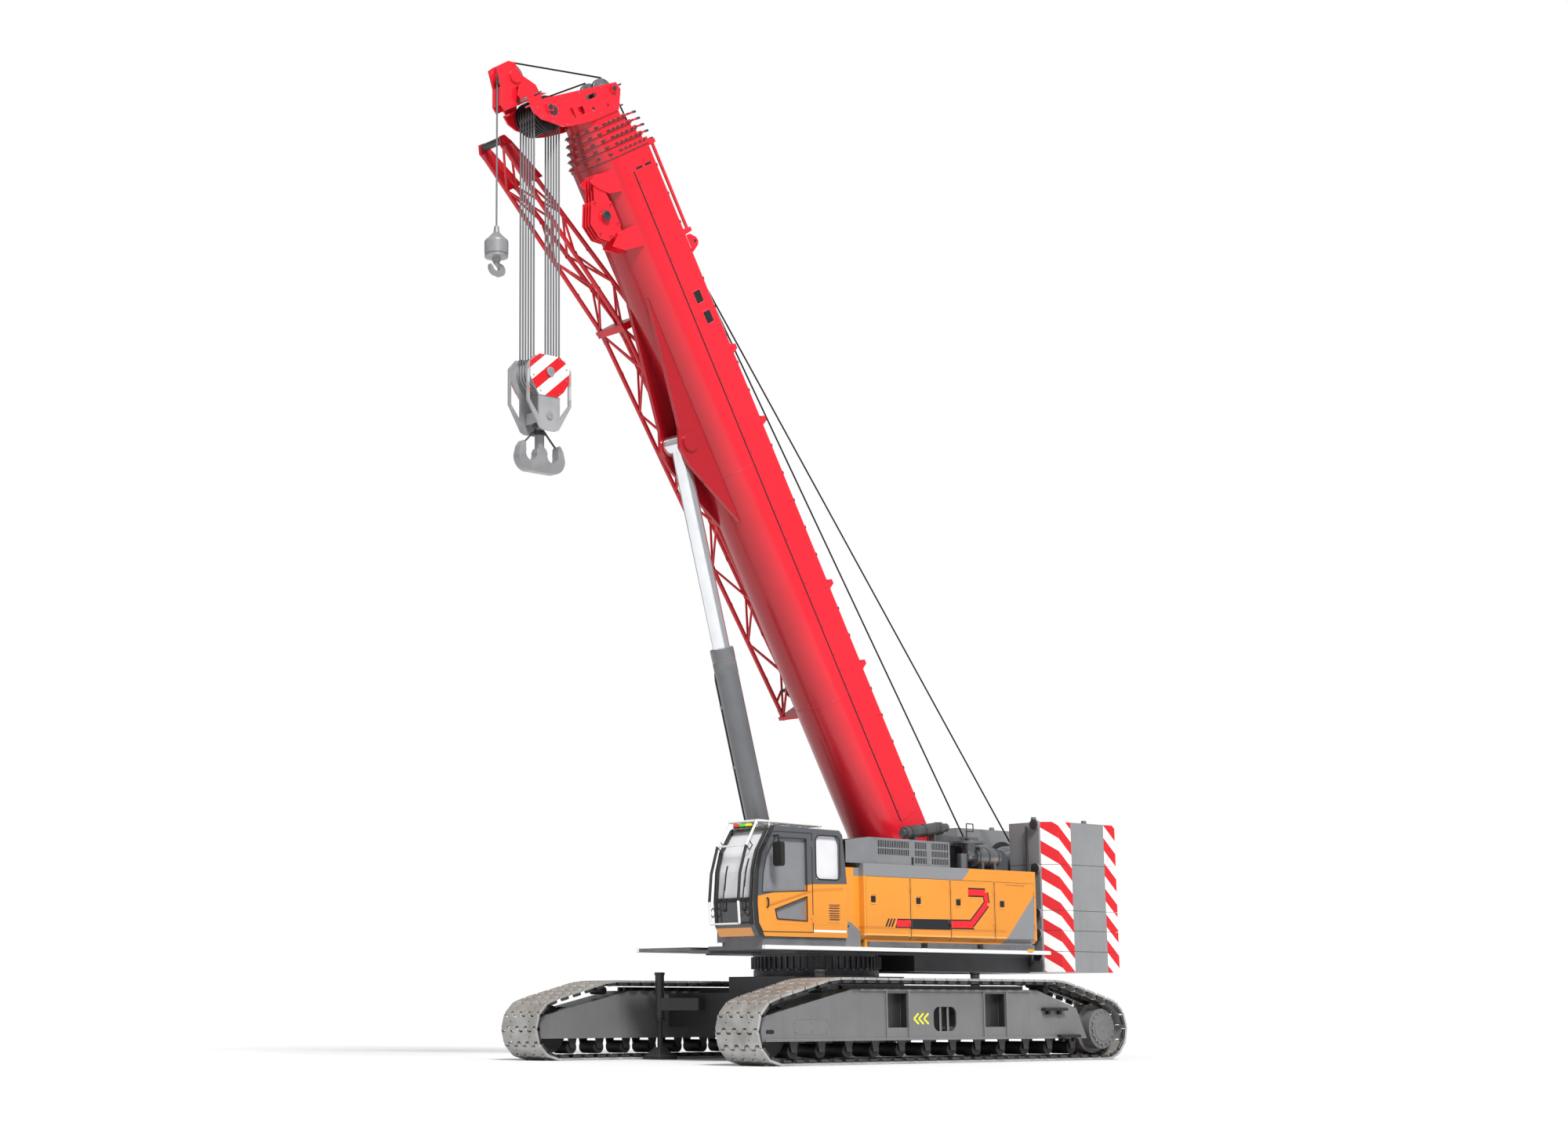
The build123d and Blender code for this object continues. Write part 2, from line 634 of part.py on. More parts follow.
collar_d = [base_length + k * collar_pitch for k in range(6)]
lug_d = (3600, 5100, 8100, 9400)                 # lifting lugs along the back of the base section
rail_y, rail_m = 330, 90
eye_lug = 205                                    # the lift cylinder's lugs, inner face
side_strip = 8                                   # raised plate along the base section's sides
with BuildPart() as base:
    with BuildSketch(across_boom(base_start)) as s0:
        add(boom_section(0))
        add(boom_section(0, -boom_wall), mode=Mode.SUBTRACT)
    extrude(amount=base_length - base_start)
    with BuildSketch(across_boom(base_length - 100)) as s1:
        add(boom_section(0, collar_lip))
        add(boom_section(1, seat_gap), mode=Mode.SUBTRACT)
    extrude(amount=100)
    with BuildSketch(across_boom(base_start)) as s2:
        add(boom_section(0, -1))
    extrude(amount=20)
    for s in (1, -1):
        plate([(-200, -260), (-200, 150), (120, 190), (430, -20), (430, -640), (260, -700)],
              (s * (boom_half - 130), s * (boom_half)), plane_at=along_boom)
        disc(0, 0, 150, (s * (boom_half - 1), s * (web_inner - seat_gap)), plane_at=along_boom)
        plate([(900, -560), (base_length - 430, -560), (base_length - 430, -90), (900, -90)],
              (s * boom_half, s * (boom_half + side_strip)), plane_at=along_boom)
        prongs(0, base_length - 50, s)
        plate([(6750, -1146), (8000, -1700), (8349, -1760), (8650, -1600), (10750, -1146)],
              (s * eye_lug, s * (eye_lug + 60)), plane_at=along_boom)
        disc(eye_d, eye_m, 150, (s * (eye_lug + 60), s * (eye_lug + 95)), plane_at=along_boom)
        for d in lug_d:
            plate([(d - 90, -40), (d + 90, -40), (d + 40, 110), (d - 40, 110)],
                  (s * (boom_half - 40), s * (boom_half - 12)), plane_at=along_boom)
    x0, z0 = boom_point(base_length - 1670, rail_m)
    x1, z1 = boom_point(base_length - 180, rail_m)
    rod((x0, rail_y, z0), (x1, rail_y, z1), 26)
    for d in (base_length - 1600, base_length - 940, base_length - 280):
        plate([(d - 40, boom_top), (d + 40, boom_top), (d + 25, rail_m), (d - 25, rail_m)],
              (rail_y - 8, rail_y + 8), plane_at=along_boom)
finish(base, "boom_base")

for k in range(1, 6):
    with BuildPart() as section:
        with BuildSketch(across_boom(base_start + 240 + 60 * k)) as s0:
            add(boom_section(k))
            add(boom_section(k, -boom_wall), mode=Mode.SUBTRACT)
        extrude(amount=collar_d[k] - base_start - 240 - 60 * k + (83 - seat_gap if k == 5 else 0))
        if k < 5:
            with BuildSketch(across_boom(collar_d[k] - 60)) as s1:
                add(boom_section(k, collar_lip))
                add(boom_section(k + 1, seat_gap), mode=Mode.SUBTRACT)
            extrude(amount=60)
            for s in (1, -1):
                prongs(k, collar_d[k] - 30, s)
    finish(section, f"boom_section_{k + 1}")

head_line = [
    (23, -1320), (60, -1480), (300, -1850), (440, -1960), (590, -1980), (590, -1624), (391, -33), (257, 6),
    (-33, -204), (-33, -900),
]
head_windows = (               # low corner, high corner: ahead of the collar, towards the back
    ((110, -1230), (290, -1160)), ((120, -1060), (250, -930)), ((100, -760), (170, -700)),
    ((60, -430), (130, -375)), ((300, -790), (370, -545)),
)


def ahead(points):
    """Points given from the last collar's face, in the boom's side plane."""
    return [(tip + d, m) for d, m in points]


with BuildPart() as head:
    for s in (1, -1):
        plate(ahead(head_line), (s * (head_half - head_plate), s * head_half), plane_at=along_boom)
        for low, high in head_windows:
            with BuildSketch(along_boom(s * (head_half - head_plate / 2))) as window:
                with Locations((tip + (low[0] + high[0]) / 2, (low[1] + high[1]) / 2)):
                    RectangleRounded(high[0] - low[0], high[1] - low[1], 15)
            extrude(window.sketch, amount=head_plate, both=True, mode=Mode.SUBTRACT)
        for d, m, size in ((430, -1630, 130), (312, -157, 120)):
            with BuildSketch(along_boom(s * (head_half + 20))) as lug:
                with Locations(Location((tip + d, m, 0), 20)):
                    RectangleRounded(size, size, 20)
            extrude(lug.sketch, amount=20, both=True)
        guard = ahead([(560, -1960), (590, -1970), (590, -1840), (560, -1840)])
        plate(guard, (s * 200, s * (head_half - head_plate)), plane_at=along_boom)
    for points in (
        [(83, -980), (108, -980), (108, -200), (83, -200)],
        [(100, -1270), (125, -1270), (170, -1010), (145, -980)],
    ):
        plate(ahead(points), (-head_half + head_plate, head_half - head_plate), plane_at=along_boom)
finish(head, "boom_head")


def sheave_stack(axle_x, axle_z, ys, plane_at=side):
    """Sheaves side by side on one axle: rims between the ropes' grooves."""
    groove = rope_pitch_radius - rope_radius - seat_gap
    half = rope_radius + 6
    low, high = min(ys) - sheave_pitch / 2, max(ys) + sheave_pitch / 2
    disc(axle_x, axle_z, groove, (low, high), plane_at=plane_at)
    edges = [low] + [y + e * half for y in sorted(ys) for e in (-1, 1)] + [high]
    for a, b in zip(edges[::2], edges[1::2]):
        disc(axle_x, axle_z, sheave_rim, (a, b), plane_at=plane_at)


fall_y = [(i - (sheave_count - 1) / 2) * sheave_pitch for i in range(sheave_count)]
with BuildPart() as sheaves:
    sheave_stack(sheave_d, sheave_m, [main_lead_y] + fall_y, plane_at=along_boom)
    disc(sheave_d, sheave_m, 60, (-head_half + head_plate, head_half - head_plate), plane_at=along_boom)
    for y in (main_lead_y, aux_lead_y):
        disc(back_d, back_m, back_radius, (y - 25, y + 25), plane_at=along_boom)
    disc(back_d, back_m, 50, (-head_half + head_plate, head_half - head_plate), plane_at=along_boom)
finish(sheaves, "head_sheaves")

arm_back = 652                  # the arms start ahead of the falls at every angle of the boom
arm_line = [
    (arm_back, -1320), (706, -1471), (843, -1485), (1080, -1698), (1283, -1719), (1348, -1833),
    (1342, -2001), (1322, -2117), (1025, -2182), (765, -2332), (arm_back, -2310),
]
with BuildPart() as rooster:
    for s in (1, -1):
        plate(ahead(arm_line), (s * 90, s * 115), plane_at=along_boom)
        plate(ahead([(590 + seat_gap, -1690), (arm_back, -1660), (arm_back, -1960),
                     (590 + seat_gap, -1940)]), (s * 300, s * 330), plane_at=along_boom)
        plate(ahead([(arm_back, -1680), (800, -1690), (930, -1790), (930, -1900), (800, -2010),
                     (arm_back, -1960)]), (s * 190, s * 205), plane_at=along_boom)
        plate(ahead([(915, -1790), (930, -1790), (930, -1900), (915, -1900)]), (s * 115, s * 205),
              plane_at=along_boom)
        plate(ahead([(765, -2332), (1025, -2182), (1017, -2165), (757, -2312)]), (s * 40, s * 115),
              plane_at=along_boom)
        disc(aux_d, aux_m, 110, (s * 115, s * 150), plane_at=along_boom)
    plate(ahead([(arm_back, -1660), (arm_back + 25, -1660), (arm_back + 25, -1960), (arm_back, -1960)]),
          (-330, 330), plane_at=along_boom)
finish(rooster, "aux_bracket")

with BuildPart() as aux_sheave:
    disc(aux_d, aux_m, aux_radius, (-30, 30), plane_at=along_boom)
    disc(aux_d, aux_m, 60, (-90 + seat_gap, 90 - seat_gap), plane_at=along_boom)
finish(aux_sheave, "aux_sheave")

foot_to_eye = Vector(*[a - b for a, b in zip(boom_point(eye_d, eye_m), (cylinder_foot_x, cylinder_foot_z))])
cyl_len = foot_to_eye.length
cu = (foot_to_eye.X / cyl_len, foot_to_eye.Y / cyl_len)


def cyl_point(r):
    return cylinder_foot_x + cu[0] * r, 0, cylinder_foot_z + cu[1] * r


with BuildPart() as barrel:
    rod(cyl_point(120), cyl_point(barrel_length), barrel_radius)
    rod(cyl_point(260), cyl_point(barrel_length + 1), rod_radius + seat_gap, mode=Mode.SUBTRACT)
    disc(cylinder_foot_x, cylinder_foot_z, 160, (-barrel_radius, barrel_radius))
    disc(cylinder_foot_x, cylinder_foot_z, 130, (-foot_boss + seat_gap, foot_boss - seat_gap))
finish(barrel, "cylinder_barrel")

with BuildPart() as piston:
    rod(cyl_point(cyl_len - rod_length), cyl_point(cyl_len - 60), rod_radius)
    disc(eye_d, eye_m, 170, (-barrel_radius, barrel_radius), plane_at=along_boom)
    disc(eye_d, eye_m, 120, (-eye_lug + seat_gap, eye_lug - seat_gap), plane_at=along_boom)
finish(piston, "cylinder_rod")

# ---- what the boom carries ---------------------------------------------------------------------
spare_d, spare_m = base_length - 887, -1500
spare_y = (203, 448)            # middles of the two bracket plates
bracket = 24                    # their thickness
spare_line = [(307, -1638), (173, -1240), (-227, -1240), (-297, -1311), (-393, -1607), (-280, -1777),
              (-14, -1841)]


def shell_m(y):
    """Outside of the base section's rounded shell at a distance to the side."""
    return boom_top - boom_box - (boom_half ** 2 - y ** 2) ** 0.5


with BuildPart() as spare:
    first, last = spare_y[0] + bracket / 2 + seat_gap, spare_y[1] - bracket / 2 - seat_gap
    cheeks = [first + (last - first - 14) * i / 3 for i in range(4)]
    for y in cheeks:
        plate([(spare_d + d, m) for d, m in spare_line], (y, y + 14), plane_at=along_boom)
        plate([(spare_d + d, m) for d, m in ((173, -1260), (660, -1310), (660, -1390), (250, -1600))],
              (y, y + 14), plane_at=along_boom)
        plate([(spare_d + d, m) for d, m in ((-200, -1250), (-350, -1290), (-350, -1370), (-240, -1500))],
              (y, y + 14), plane_at=along_boom)
    for y0, y1 in zip(cheeks, cheeks[1:]):
        disc(spare_d, spare_m, 232, (y0 + 26, y1 - 12), plane_at=along_boom)
    disc(spare_d, spare_m, 70, (first, last + bracket + 24), plane_at=along_boom)
    disc(spare_d, spare_m, 45, (first - 1, last + bracket + 25), plane_at=along_boom, mode=Mode.SUBTRACT)
finish(spare, "spare_sheave_block")

with BuildPart() as spare_brackets:
    for y in spare_y:
        top = shell_m(y - bracket / 2) - seat_gap
        for points in (
            [(606, -1515), (653, -1347), (614, top), (241, top), (300, -1230), (470, -1440)],
            [(-323, -1315), (-327, top), (-695, top), (-633, -1369), (-481, -1600)],
        ):
            plate([(spare_d + d, m) for d, m in points], (y - bracket / 2, y + bracket / 2),
                  plane_at=along_boom)
finish(spare_brackets, "spare_block_brackets")

jib_y = (-1180, -640)
jib_foot = (base_length - 10087, -596)
jib_joint = (base_length - 2757, -1046)
jib_tip = (base_length + 763, -1950)


def lattice(start, end, depth_start, depth_end, bays, chord_radius=38, lacing_radius=20):
    """Four chords and their lacing between two ends (d, m of the lower chord) along the boom."""
    def node(t, y, upper):
        d = start[0] + (end[0] - start[0]) * t
        m = start[1] + (end[1] - start[1]) * t + (depth_start + (depth_end - depth_start) * t) * upper
        x, z = boom_point(d, m)
        return (x, y, z)
    for y in jib_y:
        for upper in (0, 1):
            rod(node(0, y, upper), node(1, y, upper), chord_radius)
    for i in range(bays):
        t0, t1 = i / bays, (i + 1) / bays
        for y in jib_y:
            rod(node(t0, y, i % 2), node(t1, y, 1 - i % 2), lacing_radius)
        for upper in (0, 1):
            rod(node(t0, jib_y[i % 2], upper), node(t1, jib_y[1 - i % 2], upper), lacing_radius)


with BuildPart() as jib_lower:
    lattice(jib_foot, jib_joint, 420, 420, 10)
    for d, m in (jib_foot, jib_joint):
        plate([(d - 30, m - 60), (d + 30, m - 60), (d + 30, m + 480), (d - 30, m + 480)],
              (jib_y[0] - 60, jib_y[1] + 60), plane_at=along_boom)
finish(jib_lower, "jib_lower")

with BuildPart() as jib_upper:
    lattice((jib_joint[0] + 80, -1060), jib_tip, 430, 160, 5)
    near, far = jib_joint[0] + 30 + seat_gap, jib_joint[0] + 90
    plate([(near, -1120), (far, -1120), (far, -600), (near, -600)], (jib_y[0] - 60, jib_y[1] + 60),
          plane_at=along_boom)
    for y in jib_y:
        plate([(jib_tip[0] - 700, -1740), (jib_tip[0] + 20, -2010), (jib_tip[0] + 160, -1950),
               (jib_tip[0] + 160, -1850), (jib_tip[0] + 20, -1750), (jib_tip[0] - 700, -1420)],
              (y - 15, y + 15), plane_at=along_boom)
    x, z = boom_point(jib_tip[0] + 90, -1890)
    rod((x, jib_y[0] - 40, z), (x, jib_y[1] + 40, z), 60)
finish(jib_upper, "jib_upper")

with BuildPart() as jib_hold:
    for d, m in ((base_length - 8937, -400), (base_length - 3237, -680)):
        plate([(d - 80, m), (d + 80, m), (d + 80, m + 160), (d - 80, m + 160)],
              (jib_y[1] + 38, -boom_half - side_strip), plane_at=along_boom)
finish(jib_hold, "jib_brackets")

# ---- hooks -----------------------------------------------------------------------------------------
sheave_x, sheave_z = boom_point(sheave_d, sheave_m)
with BuildPart() as falls:
    for y in fall_y:
        for s in (1, -1):
            x = sheave_x + s * rope_pitch_radius
            rod((x, y, block_z), (x, y, sheave_z), rope_radius)
finish(falls, "main_falls")

block_half = 262                # outside of the hook block's cheeks
cheek = 30
frame_line_block = [
    (-440, 70), (-440, -500), (-190, -910), (-120, -940), (120, -940), (190, -910), (440, -500), (440, 70),
    (300, 225), (-300, 225),
]
cheek_line = [(-385, 120), (-385, -130), (-210, -390), (210, -390), (385, -130), (385, 120), (200, 260),
              (-200, 260)]


def below_axle(points):
    return [(sheave_x + x, block_z + z) for x, z in points]


with BuildPart() as hook_block:
    sheave_stack(sheave_x, block_z, fall_y)
    for s in (1, -1):
        plate(below_axle(frame_line_block), (s * (block_half - cheek - 15), s * (block_half - 15)))
        plate(below_axle([(-390, 50), (-390, -490), (-210, -720), (-150, -400), (150, -400), (210, -720),
                          (390, -490), (390, 50), (270, 175), (-270, 175)]),
              (s * (block_half - cheek - 16), s * (block_half - 14)), mode=Mode.SUBTRACT)
        plate(below_axle([(-210, -390), (210, -390), (210, -740), (-210, -740)]),
              (s * (block_half - cheek - 15), s * (block_half - 15)))
        plate(below_axle(cheek_line), (s * (block_half - 40), s * block_half))
        disc(sheave_x, block_z, 60, (s * 200, s * (block_half + 12)))
        disc(sheave_x, block_z - 700, 55, (s * (block_half - 60), s * (block_half - 5)))
    block((sheave_x - 105, sheave_x + 105), (-block_half + 60, block_half - 60),
          (block_z - 790, block_z - 610))
finish(hook_block, "hook_block")

shank_top = block_z - 790 - seat_gap
hook_z = 9400                   # middle of the hook's two bowls
with BuildSketch() as bowls:
    with BuildLine():
        Polyline((0, 50), (75, 0), (105, -60))
        ThreePointArc((105, -60), (215, -205), (318, -60))
        Polyline((318, -60), (325, 60), (357, 95), (420, 10), (456, -130))
        ThreePointArc((456, -130), (395, -300), (226, -370))
        Polyline((226, -370), (0, -370), (0, 50))
    make_face()
    mirror(about=Plane.YZ)
with BuildPart() as hook:
    rod((sheave_x, 0, hook_z - 60), (sheave_x, 0, shank_top), 75)
    with BuildSketch(side()) as two_bowls:
        with Locations((sheave_x, hook_z)):
            add(bowls.sketch)
    extrude(two_bowls.sketch, amount=75, both=True)
finish(hook, "ramshorn_hook")

aux_x, aux_z = boom_point(aux_d, aux_m)
ball_x = aux_x + aux_radius + rope_radius + seat_gap
with BuildPart() as aux_fall:
    rod((ball_x, 0, 12843), (ball_x, 0, aux_z), rope_radius)
finish(aux_fall, "aux_fall")
with BuildPart() as ball:
    with BuildSketch(side()) as half:
        Polygon((ball_x, 12843 - seat_gap), (ball_x + 38, 12843 - seat_gap), (ball_x + 50, 12742),
                (ball_x + 118, 12668), (ball_x + 178, 12614), (ball_x + 188, 12590),
                (ball_x + 188, 12395), (ball_x + 172, 12390), (ball_x + 172, 12375),
                (ball_x + 184, 12370), (ball_x + 184, 12340), (ball_x + 70, 12330),
                (ball_x + 62, 12270), (ball_x, 12270), align=None)
    revolve(half.sketch, axis=Axis((slew_x + ball_x, 0, 0), (0, 0, 1)))
    with BuildSketch(side()) as crook:
        with BuildLine():
            Polyline((ball_x - 30, 12290), (ball_x - 40, 12240))
            ThreePointArc((ball_x - 40, 12240), (ball_x - 150, 12150), (ball_x, 12050))
            ThreePointArc((ball_x, 12050), (ball_x + 120, 12110), (ball_x + 130, 12215))
            Polyline((ball_x + 130, 12215), (ball_x + 85, 12170))
            ThreePointArc((ball_x + 85, 12170), (ball_x + 10, 12115), (ball_x - 55, 12165))
            ThreePointArc((ball_x - 55, 12165), (ball_x - 10, 12215), (ball_x + 30, 12240))
            Polyline((ball_x + 30, 12240), (ball_x + 30, 12290), (ball_x - 30, 12290))
        make_face()
    extrude(crook.sketch, amount=38, both=True)
finish(ball, "ball_hook")

# ---- long ropes: from the winches over the back of the boom to the head -----------------------------
hug = rope_radius + seat_gap      # rope's centre line from the rim it lies on
x0, z0 = boom_point(back_d, back_m)
with BuildPart() as head_lines:
    for y0, y1, end, reach in (
        (aux_lead_y, 0, (aux_d, aux_m), aux_radius + hug),
        (main_lead_y, main_lead_y, (sheave_d, sheave_m), rope_pitch_radius),
    ):
        x1, z1 = boom_point(*end)
        nx, nz = -(z1 - z0), x1 - x0
        k = (1 if nz > 0 else -1) / hypot(nx, nz)
        rod((x0 + k * nx * (back_radius + hug), y0, z0 + k * nz * (back_radius + hug)),
            (x1 + k * nx * reach, y1, z1 + k * nz * reach), rope_radius)
finish(head_lines, "head_lines")

for (name, wx, wz), y in zip(winches, (aux_lead_y, main_lead_y)):
    ux, uz = x0 - wx, z0 - wz
    r0, r1 = winch_radius + hug, back_radius + hug
    lean = atan2(uz, ux) - (r1 - r0) / hypot(ux, uz)
    nx, nz = -sin(lean), cos(lean)
    with BuildPart() as leg:
        rod((wx + nx * r0, y, wz + nz * r0), (x0 + nx * r1, y, z0 + nz * r1), rope_radius)
    finish(leg, f"{name}_rope_leg")

# ---- glass, guards, lamps ------------------------------------------------------------------------------
with BuildPart() as glass:
    with BuildSketch(side(cab_mid)) as strip:
        add(cab_outline(cab_wall + seat_gap))
        add(cab_outline(cab_wall + seat_gap + pane), mode=Mode.SUBTRACT)
        with Locations((2650, 3040)):
            Rectangle(700, 1060, mode=Mode.INTERSECT)
    extrude(amount=(cab_outer - cab_inner) / 2 - 50, both=True)
    plate([(1480, 2835), (934, 2835), (934, 3408), (994, 3535), (1480, 3535)],
          (cab_outer - cab_wall - pane, cab_outer - cab_wall - seat_gap))
finish(glass, "cab_glass")
with BuildPart() as door_pane:
    for window in door_windows:
        with BuildSketch(side(cab_outer - cab_wall - (pane + seat_gap) / 2)) as sheet_of_glass:
            Polygon(*window, align=None)
            offset(amount=8, kind=Kind.INTERSECTION, mode=Mode.REPLACE)
        extrude(sheet_of_glass.sketch, amount=(pane - seat_gap) / 2, both=True)
finish(door_pane, "door_glass")
guard_line = [(2560, 3725), (2800, 3330), (2940, 2900), (2985, 2466), (2960, 2120)]
with BuildPart() as guards:
    for y in (650, 1300):
        for (x0, z0), (x1, z1) in zip(guard_line, guard_line[1:]):
            rod((x0, y, z0), (x1, y, z1), 20)
        rod((1140, y, 3700), (2560, y, 3725), 20)
        for x in (1200, 2300):
            rod((x, y, 3712), (x, y, cab_top - roof_fall * (2419 - x) + 0.2), 14)
    for x, z in ((2560, 3725), (2800, 3330), (2960, 2120), (1140, 3700), (1500, 3706), (1860, 3713),
                 (2220, 3719)):
        rod((x, 650, z), (x, 1300, z), 16)
finish(guards, "cab_guards")
with BuildPart() as mirror:
    with BuildSketch(Plane(origin=(slew_x + 2440, cab_outer + 190, 3190), z_dir=(1, 0, 0))):
        RectangleRounded(200, 380, 45)
    extrude(amount=70)
    rod((2400, cab_outer + seat_gap, 3480), (2400, cab_outer + 60, 3480), 14)
    rod((2400, cab_outer + 52, 3480), (2475, cab_outer + 190, 3480), 14)
    rod((2475, cab_outer + 190, 3494), (2475, cab_outer + 190, 3370), 14)
finish(mirror, "mirror")
with BuildPart() as lamps:
    disc(2300, 3700, 60, (900, 1000))
    block((2280, 2320), (940, 960), (cab_top - 0.7, 3650))
finish(lamps, "lamps")
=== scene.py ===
import json
import math
import bmesh
import bpy
import numpy as np
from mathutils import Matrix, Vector


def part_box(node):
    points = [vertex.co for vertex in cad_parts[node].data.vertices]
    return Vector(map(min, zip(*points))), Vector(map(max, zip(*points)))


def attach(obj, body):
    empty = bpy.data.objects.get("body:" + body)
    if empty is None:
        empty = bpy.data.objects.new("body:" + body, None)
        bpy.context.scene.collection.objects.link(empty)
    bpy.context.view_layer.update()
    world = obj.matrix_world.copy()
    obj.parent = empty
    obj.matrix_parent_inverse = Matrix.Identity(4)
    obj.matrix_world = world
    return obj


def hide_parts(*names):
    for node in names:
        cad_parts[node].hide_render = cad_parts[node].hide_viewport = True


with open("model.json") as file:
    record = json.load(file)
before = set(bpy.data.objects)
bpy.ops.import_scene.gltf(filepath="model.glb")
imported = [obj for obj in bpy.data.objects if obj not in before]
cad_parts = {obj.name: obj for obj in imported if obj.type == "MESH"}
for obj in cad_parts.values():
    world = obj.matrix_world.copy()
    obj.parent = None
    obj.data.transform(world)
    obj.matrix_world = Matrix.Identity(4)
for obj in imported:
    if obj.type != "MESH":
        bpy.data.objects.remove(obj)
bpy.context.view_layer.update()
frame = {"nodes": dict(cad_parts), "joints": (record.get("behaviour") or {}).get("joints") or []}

scene = bpy.context.scene
scene.view_settings.view_transform = "Standard"

# where the crane's own axes are, from the joints of the frame
jointPlace = {j["name"]: np.array(j["pos_m"], float) for j in frame["joints"] if "pos_m" in j}
boomAlong = np.array(next(j for j in frame["joints"] if j["name"] == "telescope_2")["axis"], float)
boomBack = np.array([-boomAlong[2], 0.0, boomAlong[0]])
slewX = jointPlace["slew"][0]
footPin = jointPlace["luff"]
acrossY = np.array([0.0, 1.0, 0.0])
upZ = np.array([0.0, 0.0, 1.0])
foreX = np.array([1.0, 0.0, 0.0])


def boomPoint(d, m, y=0.0):
    # d metres along the boom from its foot pin, m towards its back
    return footPin + d * boomAlong + m * boomBack + np.array([0.0, y, 0.0])


# camera, light and floor

cameraSettings = {
    "place": (29.110, 29.251, 0.836),  # metres, the eye of someone who crouches on the ground
    "looks": (-0.6252, -0.7608, 0.1736),
    "lensMm": 56.78,
    "sensorMm": 36.0,
    "shiftX": 0.1435,
    "clipEnd": 600.0,
}
cameraData = bpy.data.cameras.new("studioCamera")
cameraData.lens = cameraSettings["lensMm"]
cameraData.sensor_width = cameraSettings["sensorMm"]
cameraData.sensor_fit = "HORIZONTAL"
cameraData.shift_x = cameraSettings["shiftX"]
cameraData.clip_end = cameraSettings["clipEnd"]
camera = bpy.data.objects.new("studioCamera", cameraData)
scene.collection.objects.link(camera)
camera.location = cameraSettings["place"]
camera.rotation_euler = Vector(cameraSettings["looks"]).to_track_quat("-Z", "Y").to_euler()
scene.camera = camera


def linear(hexColour):
    # sRGB hex to linear colour
    parts = [int(hexColour[i:i + 2], 16) / 255.0 for i in (1, 3, 5)]
    return [c / 12.92 if c <= 0.04045 else ((c + 0.055) / 1.055) ** 2.4 for c in parts] + [1.0]


def addNode(tree, kind, settings=None, links=None):
    # one node with its settings, by socket or by attribute, and what feeds its sockets
    node = tree.nodes.new("ShaderNode" + kind)
    for key, value in (settings or {}).items():
        if isinstance(key, int) or key in node.inputs:
            node.inputs[key].default_value = value
        else:
            setattr(node, key, value)
    for key, source in (links or {}).items():
        tree.links.new(source, node.inputs[key])
    return node


lightSettings = {
    "sky": ("#6E7174", "#B9BDC2", "#FFFFFF"),  # from straight below, at the horizon, from above
    "skyStrength": 0.54,
    "backdropStrength": 1.0,
    "sunStrength": 3.3,
    "sunAngleDeg": 16.0,
    "sunFrom": (0.40, 0.95, 1.00),  # towards the light, from the crane
}


def lightStudio(settings):
    # a white tent: soft light that is stronger from above, and one large lamp high on the camera's side
    world = bpy.data.worlds.new("whiteTent")
    world.use_nodes = True
    tree = world.node_tree
    tree.nodes.clear()
    coords = addNode(tree, "TexCoord")
    parts = addNode(tree, "SeparateXYZ", links={0: coords.outputs["Generated"]})
    height = addNode(tree, "MapRange", {"From Min": -1.0, "From Max": 1.0}, {"Value": parts.outputs["Z"]})
    ramp = addNode(tree, "ValToRGB", links={0: height.outputs[0]})
    ramp.color_ramp.elements.new(0.5)
    for stop, colour in zip(ramp.color_ramp.elements, settings["sky"]):
        stop.color = linear(colour)
    tent = addNode(tree, "Background", {"Strength": settings["skyStrength"]}, {"Color": ramp.outputs[0]})
    drop = addNode(tree, "Background", {"Strength": settings["backdropStrength"]})
    drop.inputs["Color"].default_value = linear("#FFFFFF")
    seen = addNode(tree, "LightPath")
    both = addNode(tree, "MixShader",
                   links={0: seen.outputs["Is Camera Ray"], 1: tent.outputs[0], 2: drop.outputs[0]})
    addNode(tree, "OutputWorld", links={0: both.outputs[0]})
    scene.world = world
    sun = bpy.data.objects.new("keyLamp", bpy.data.lights.new("keyLamp", "SUN"))
    sun.data.energy = settings["sunStrength"]
    sun.data.angle = math.radians(settings["sunAngleDeg"])
    sun.rotation_euler = (-Vector(settings["sunFrom"])).to_track_quat("-Z", "Y").to_euler()
    scene.collection.objects.link(sun)


lightStudio(lightSettings)
print("camera and light placed")

# surfaces: a shape is (points, corner indices, corners per face), all of them arrays


def gridShape(points, wrapRows=False, wrapColumns=False, capRows=False):
    # faces between neighbouring points of a rows x columns grid; capRows closes its first and last row
    rows, columns = points.shape[:2]
    r = np.arange(rows if wrapRows else rows - 1)[:, None]
    c = np.arange(columns if wrapColumns else columns - 1)[None, :]
    a, b = r * columns + c, r * columns + (c + 1) % columns
    d, e = ((r + 1) % rows) * columns + c, ((r + 1) % rows) * columns + (c + 1) % columns
    loops = [np.stack([a, b, e, d], -1).reshape(-1)]
    sizes = [np.full(a.size, 4)]
    if capRows:
        loops += [np.arange(columns)[::-1], np.arange(columns) + (rows - 1) * columns]
        sizes += [np.array([columns, columns])]
    return points.reshape(-1, 3), np.concatenate(loops), np.concatenate(sizes)


def joined(shapes):
    # several shapes as one, the corner indices of each moved on past the points before it
    starts = np.cumsum([0] + [len(s[0]) for s in shapes])
    return (np.concatenate([s[0] for s in shapes]),
            np.concatenate([s[1] + k for s, k in zip(shapes, starts)]),
            np.concatenate([s[2] for s in shapes]))


def roundAngles(count):
    # evenly spaced round a circle, from 0
    return np.arange(count) * 2 * np.pi / count


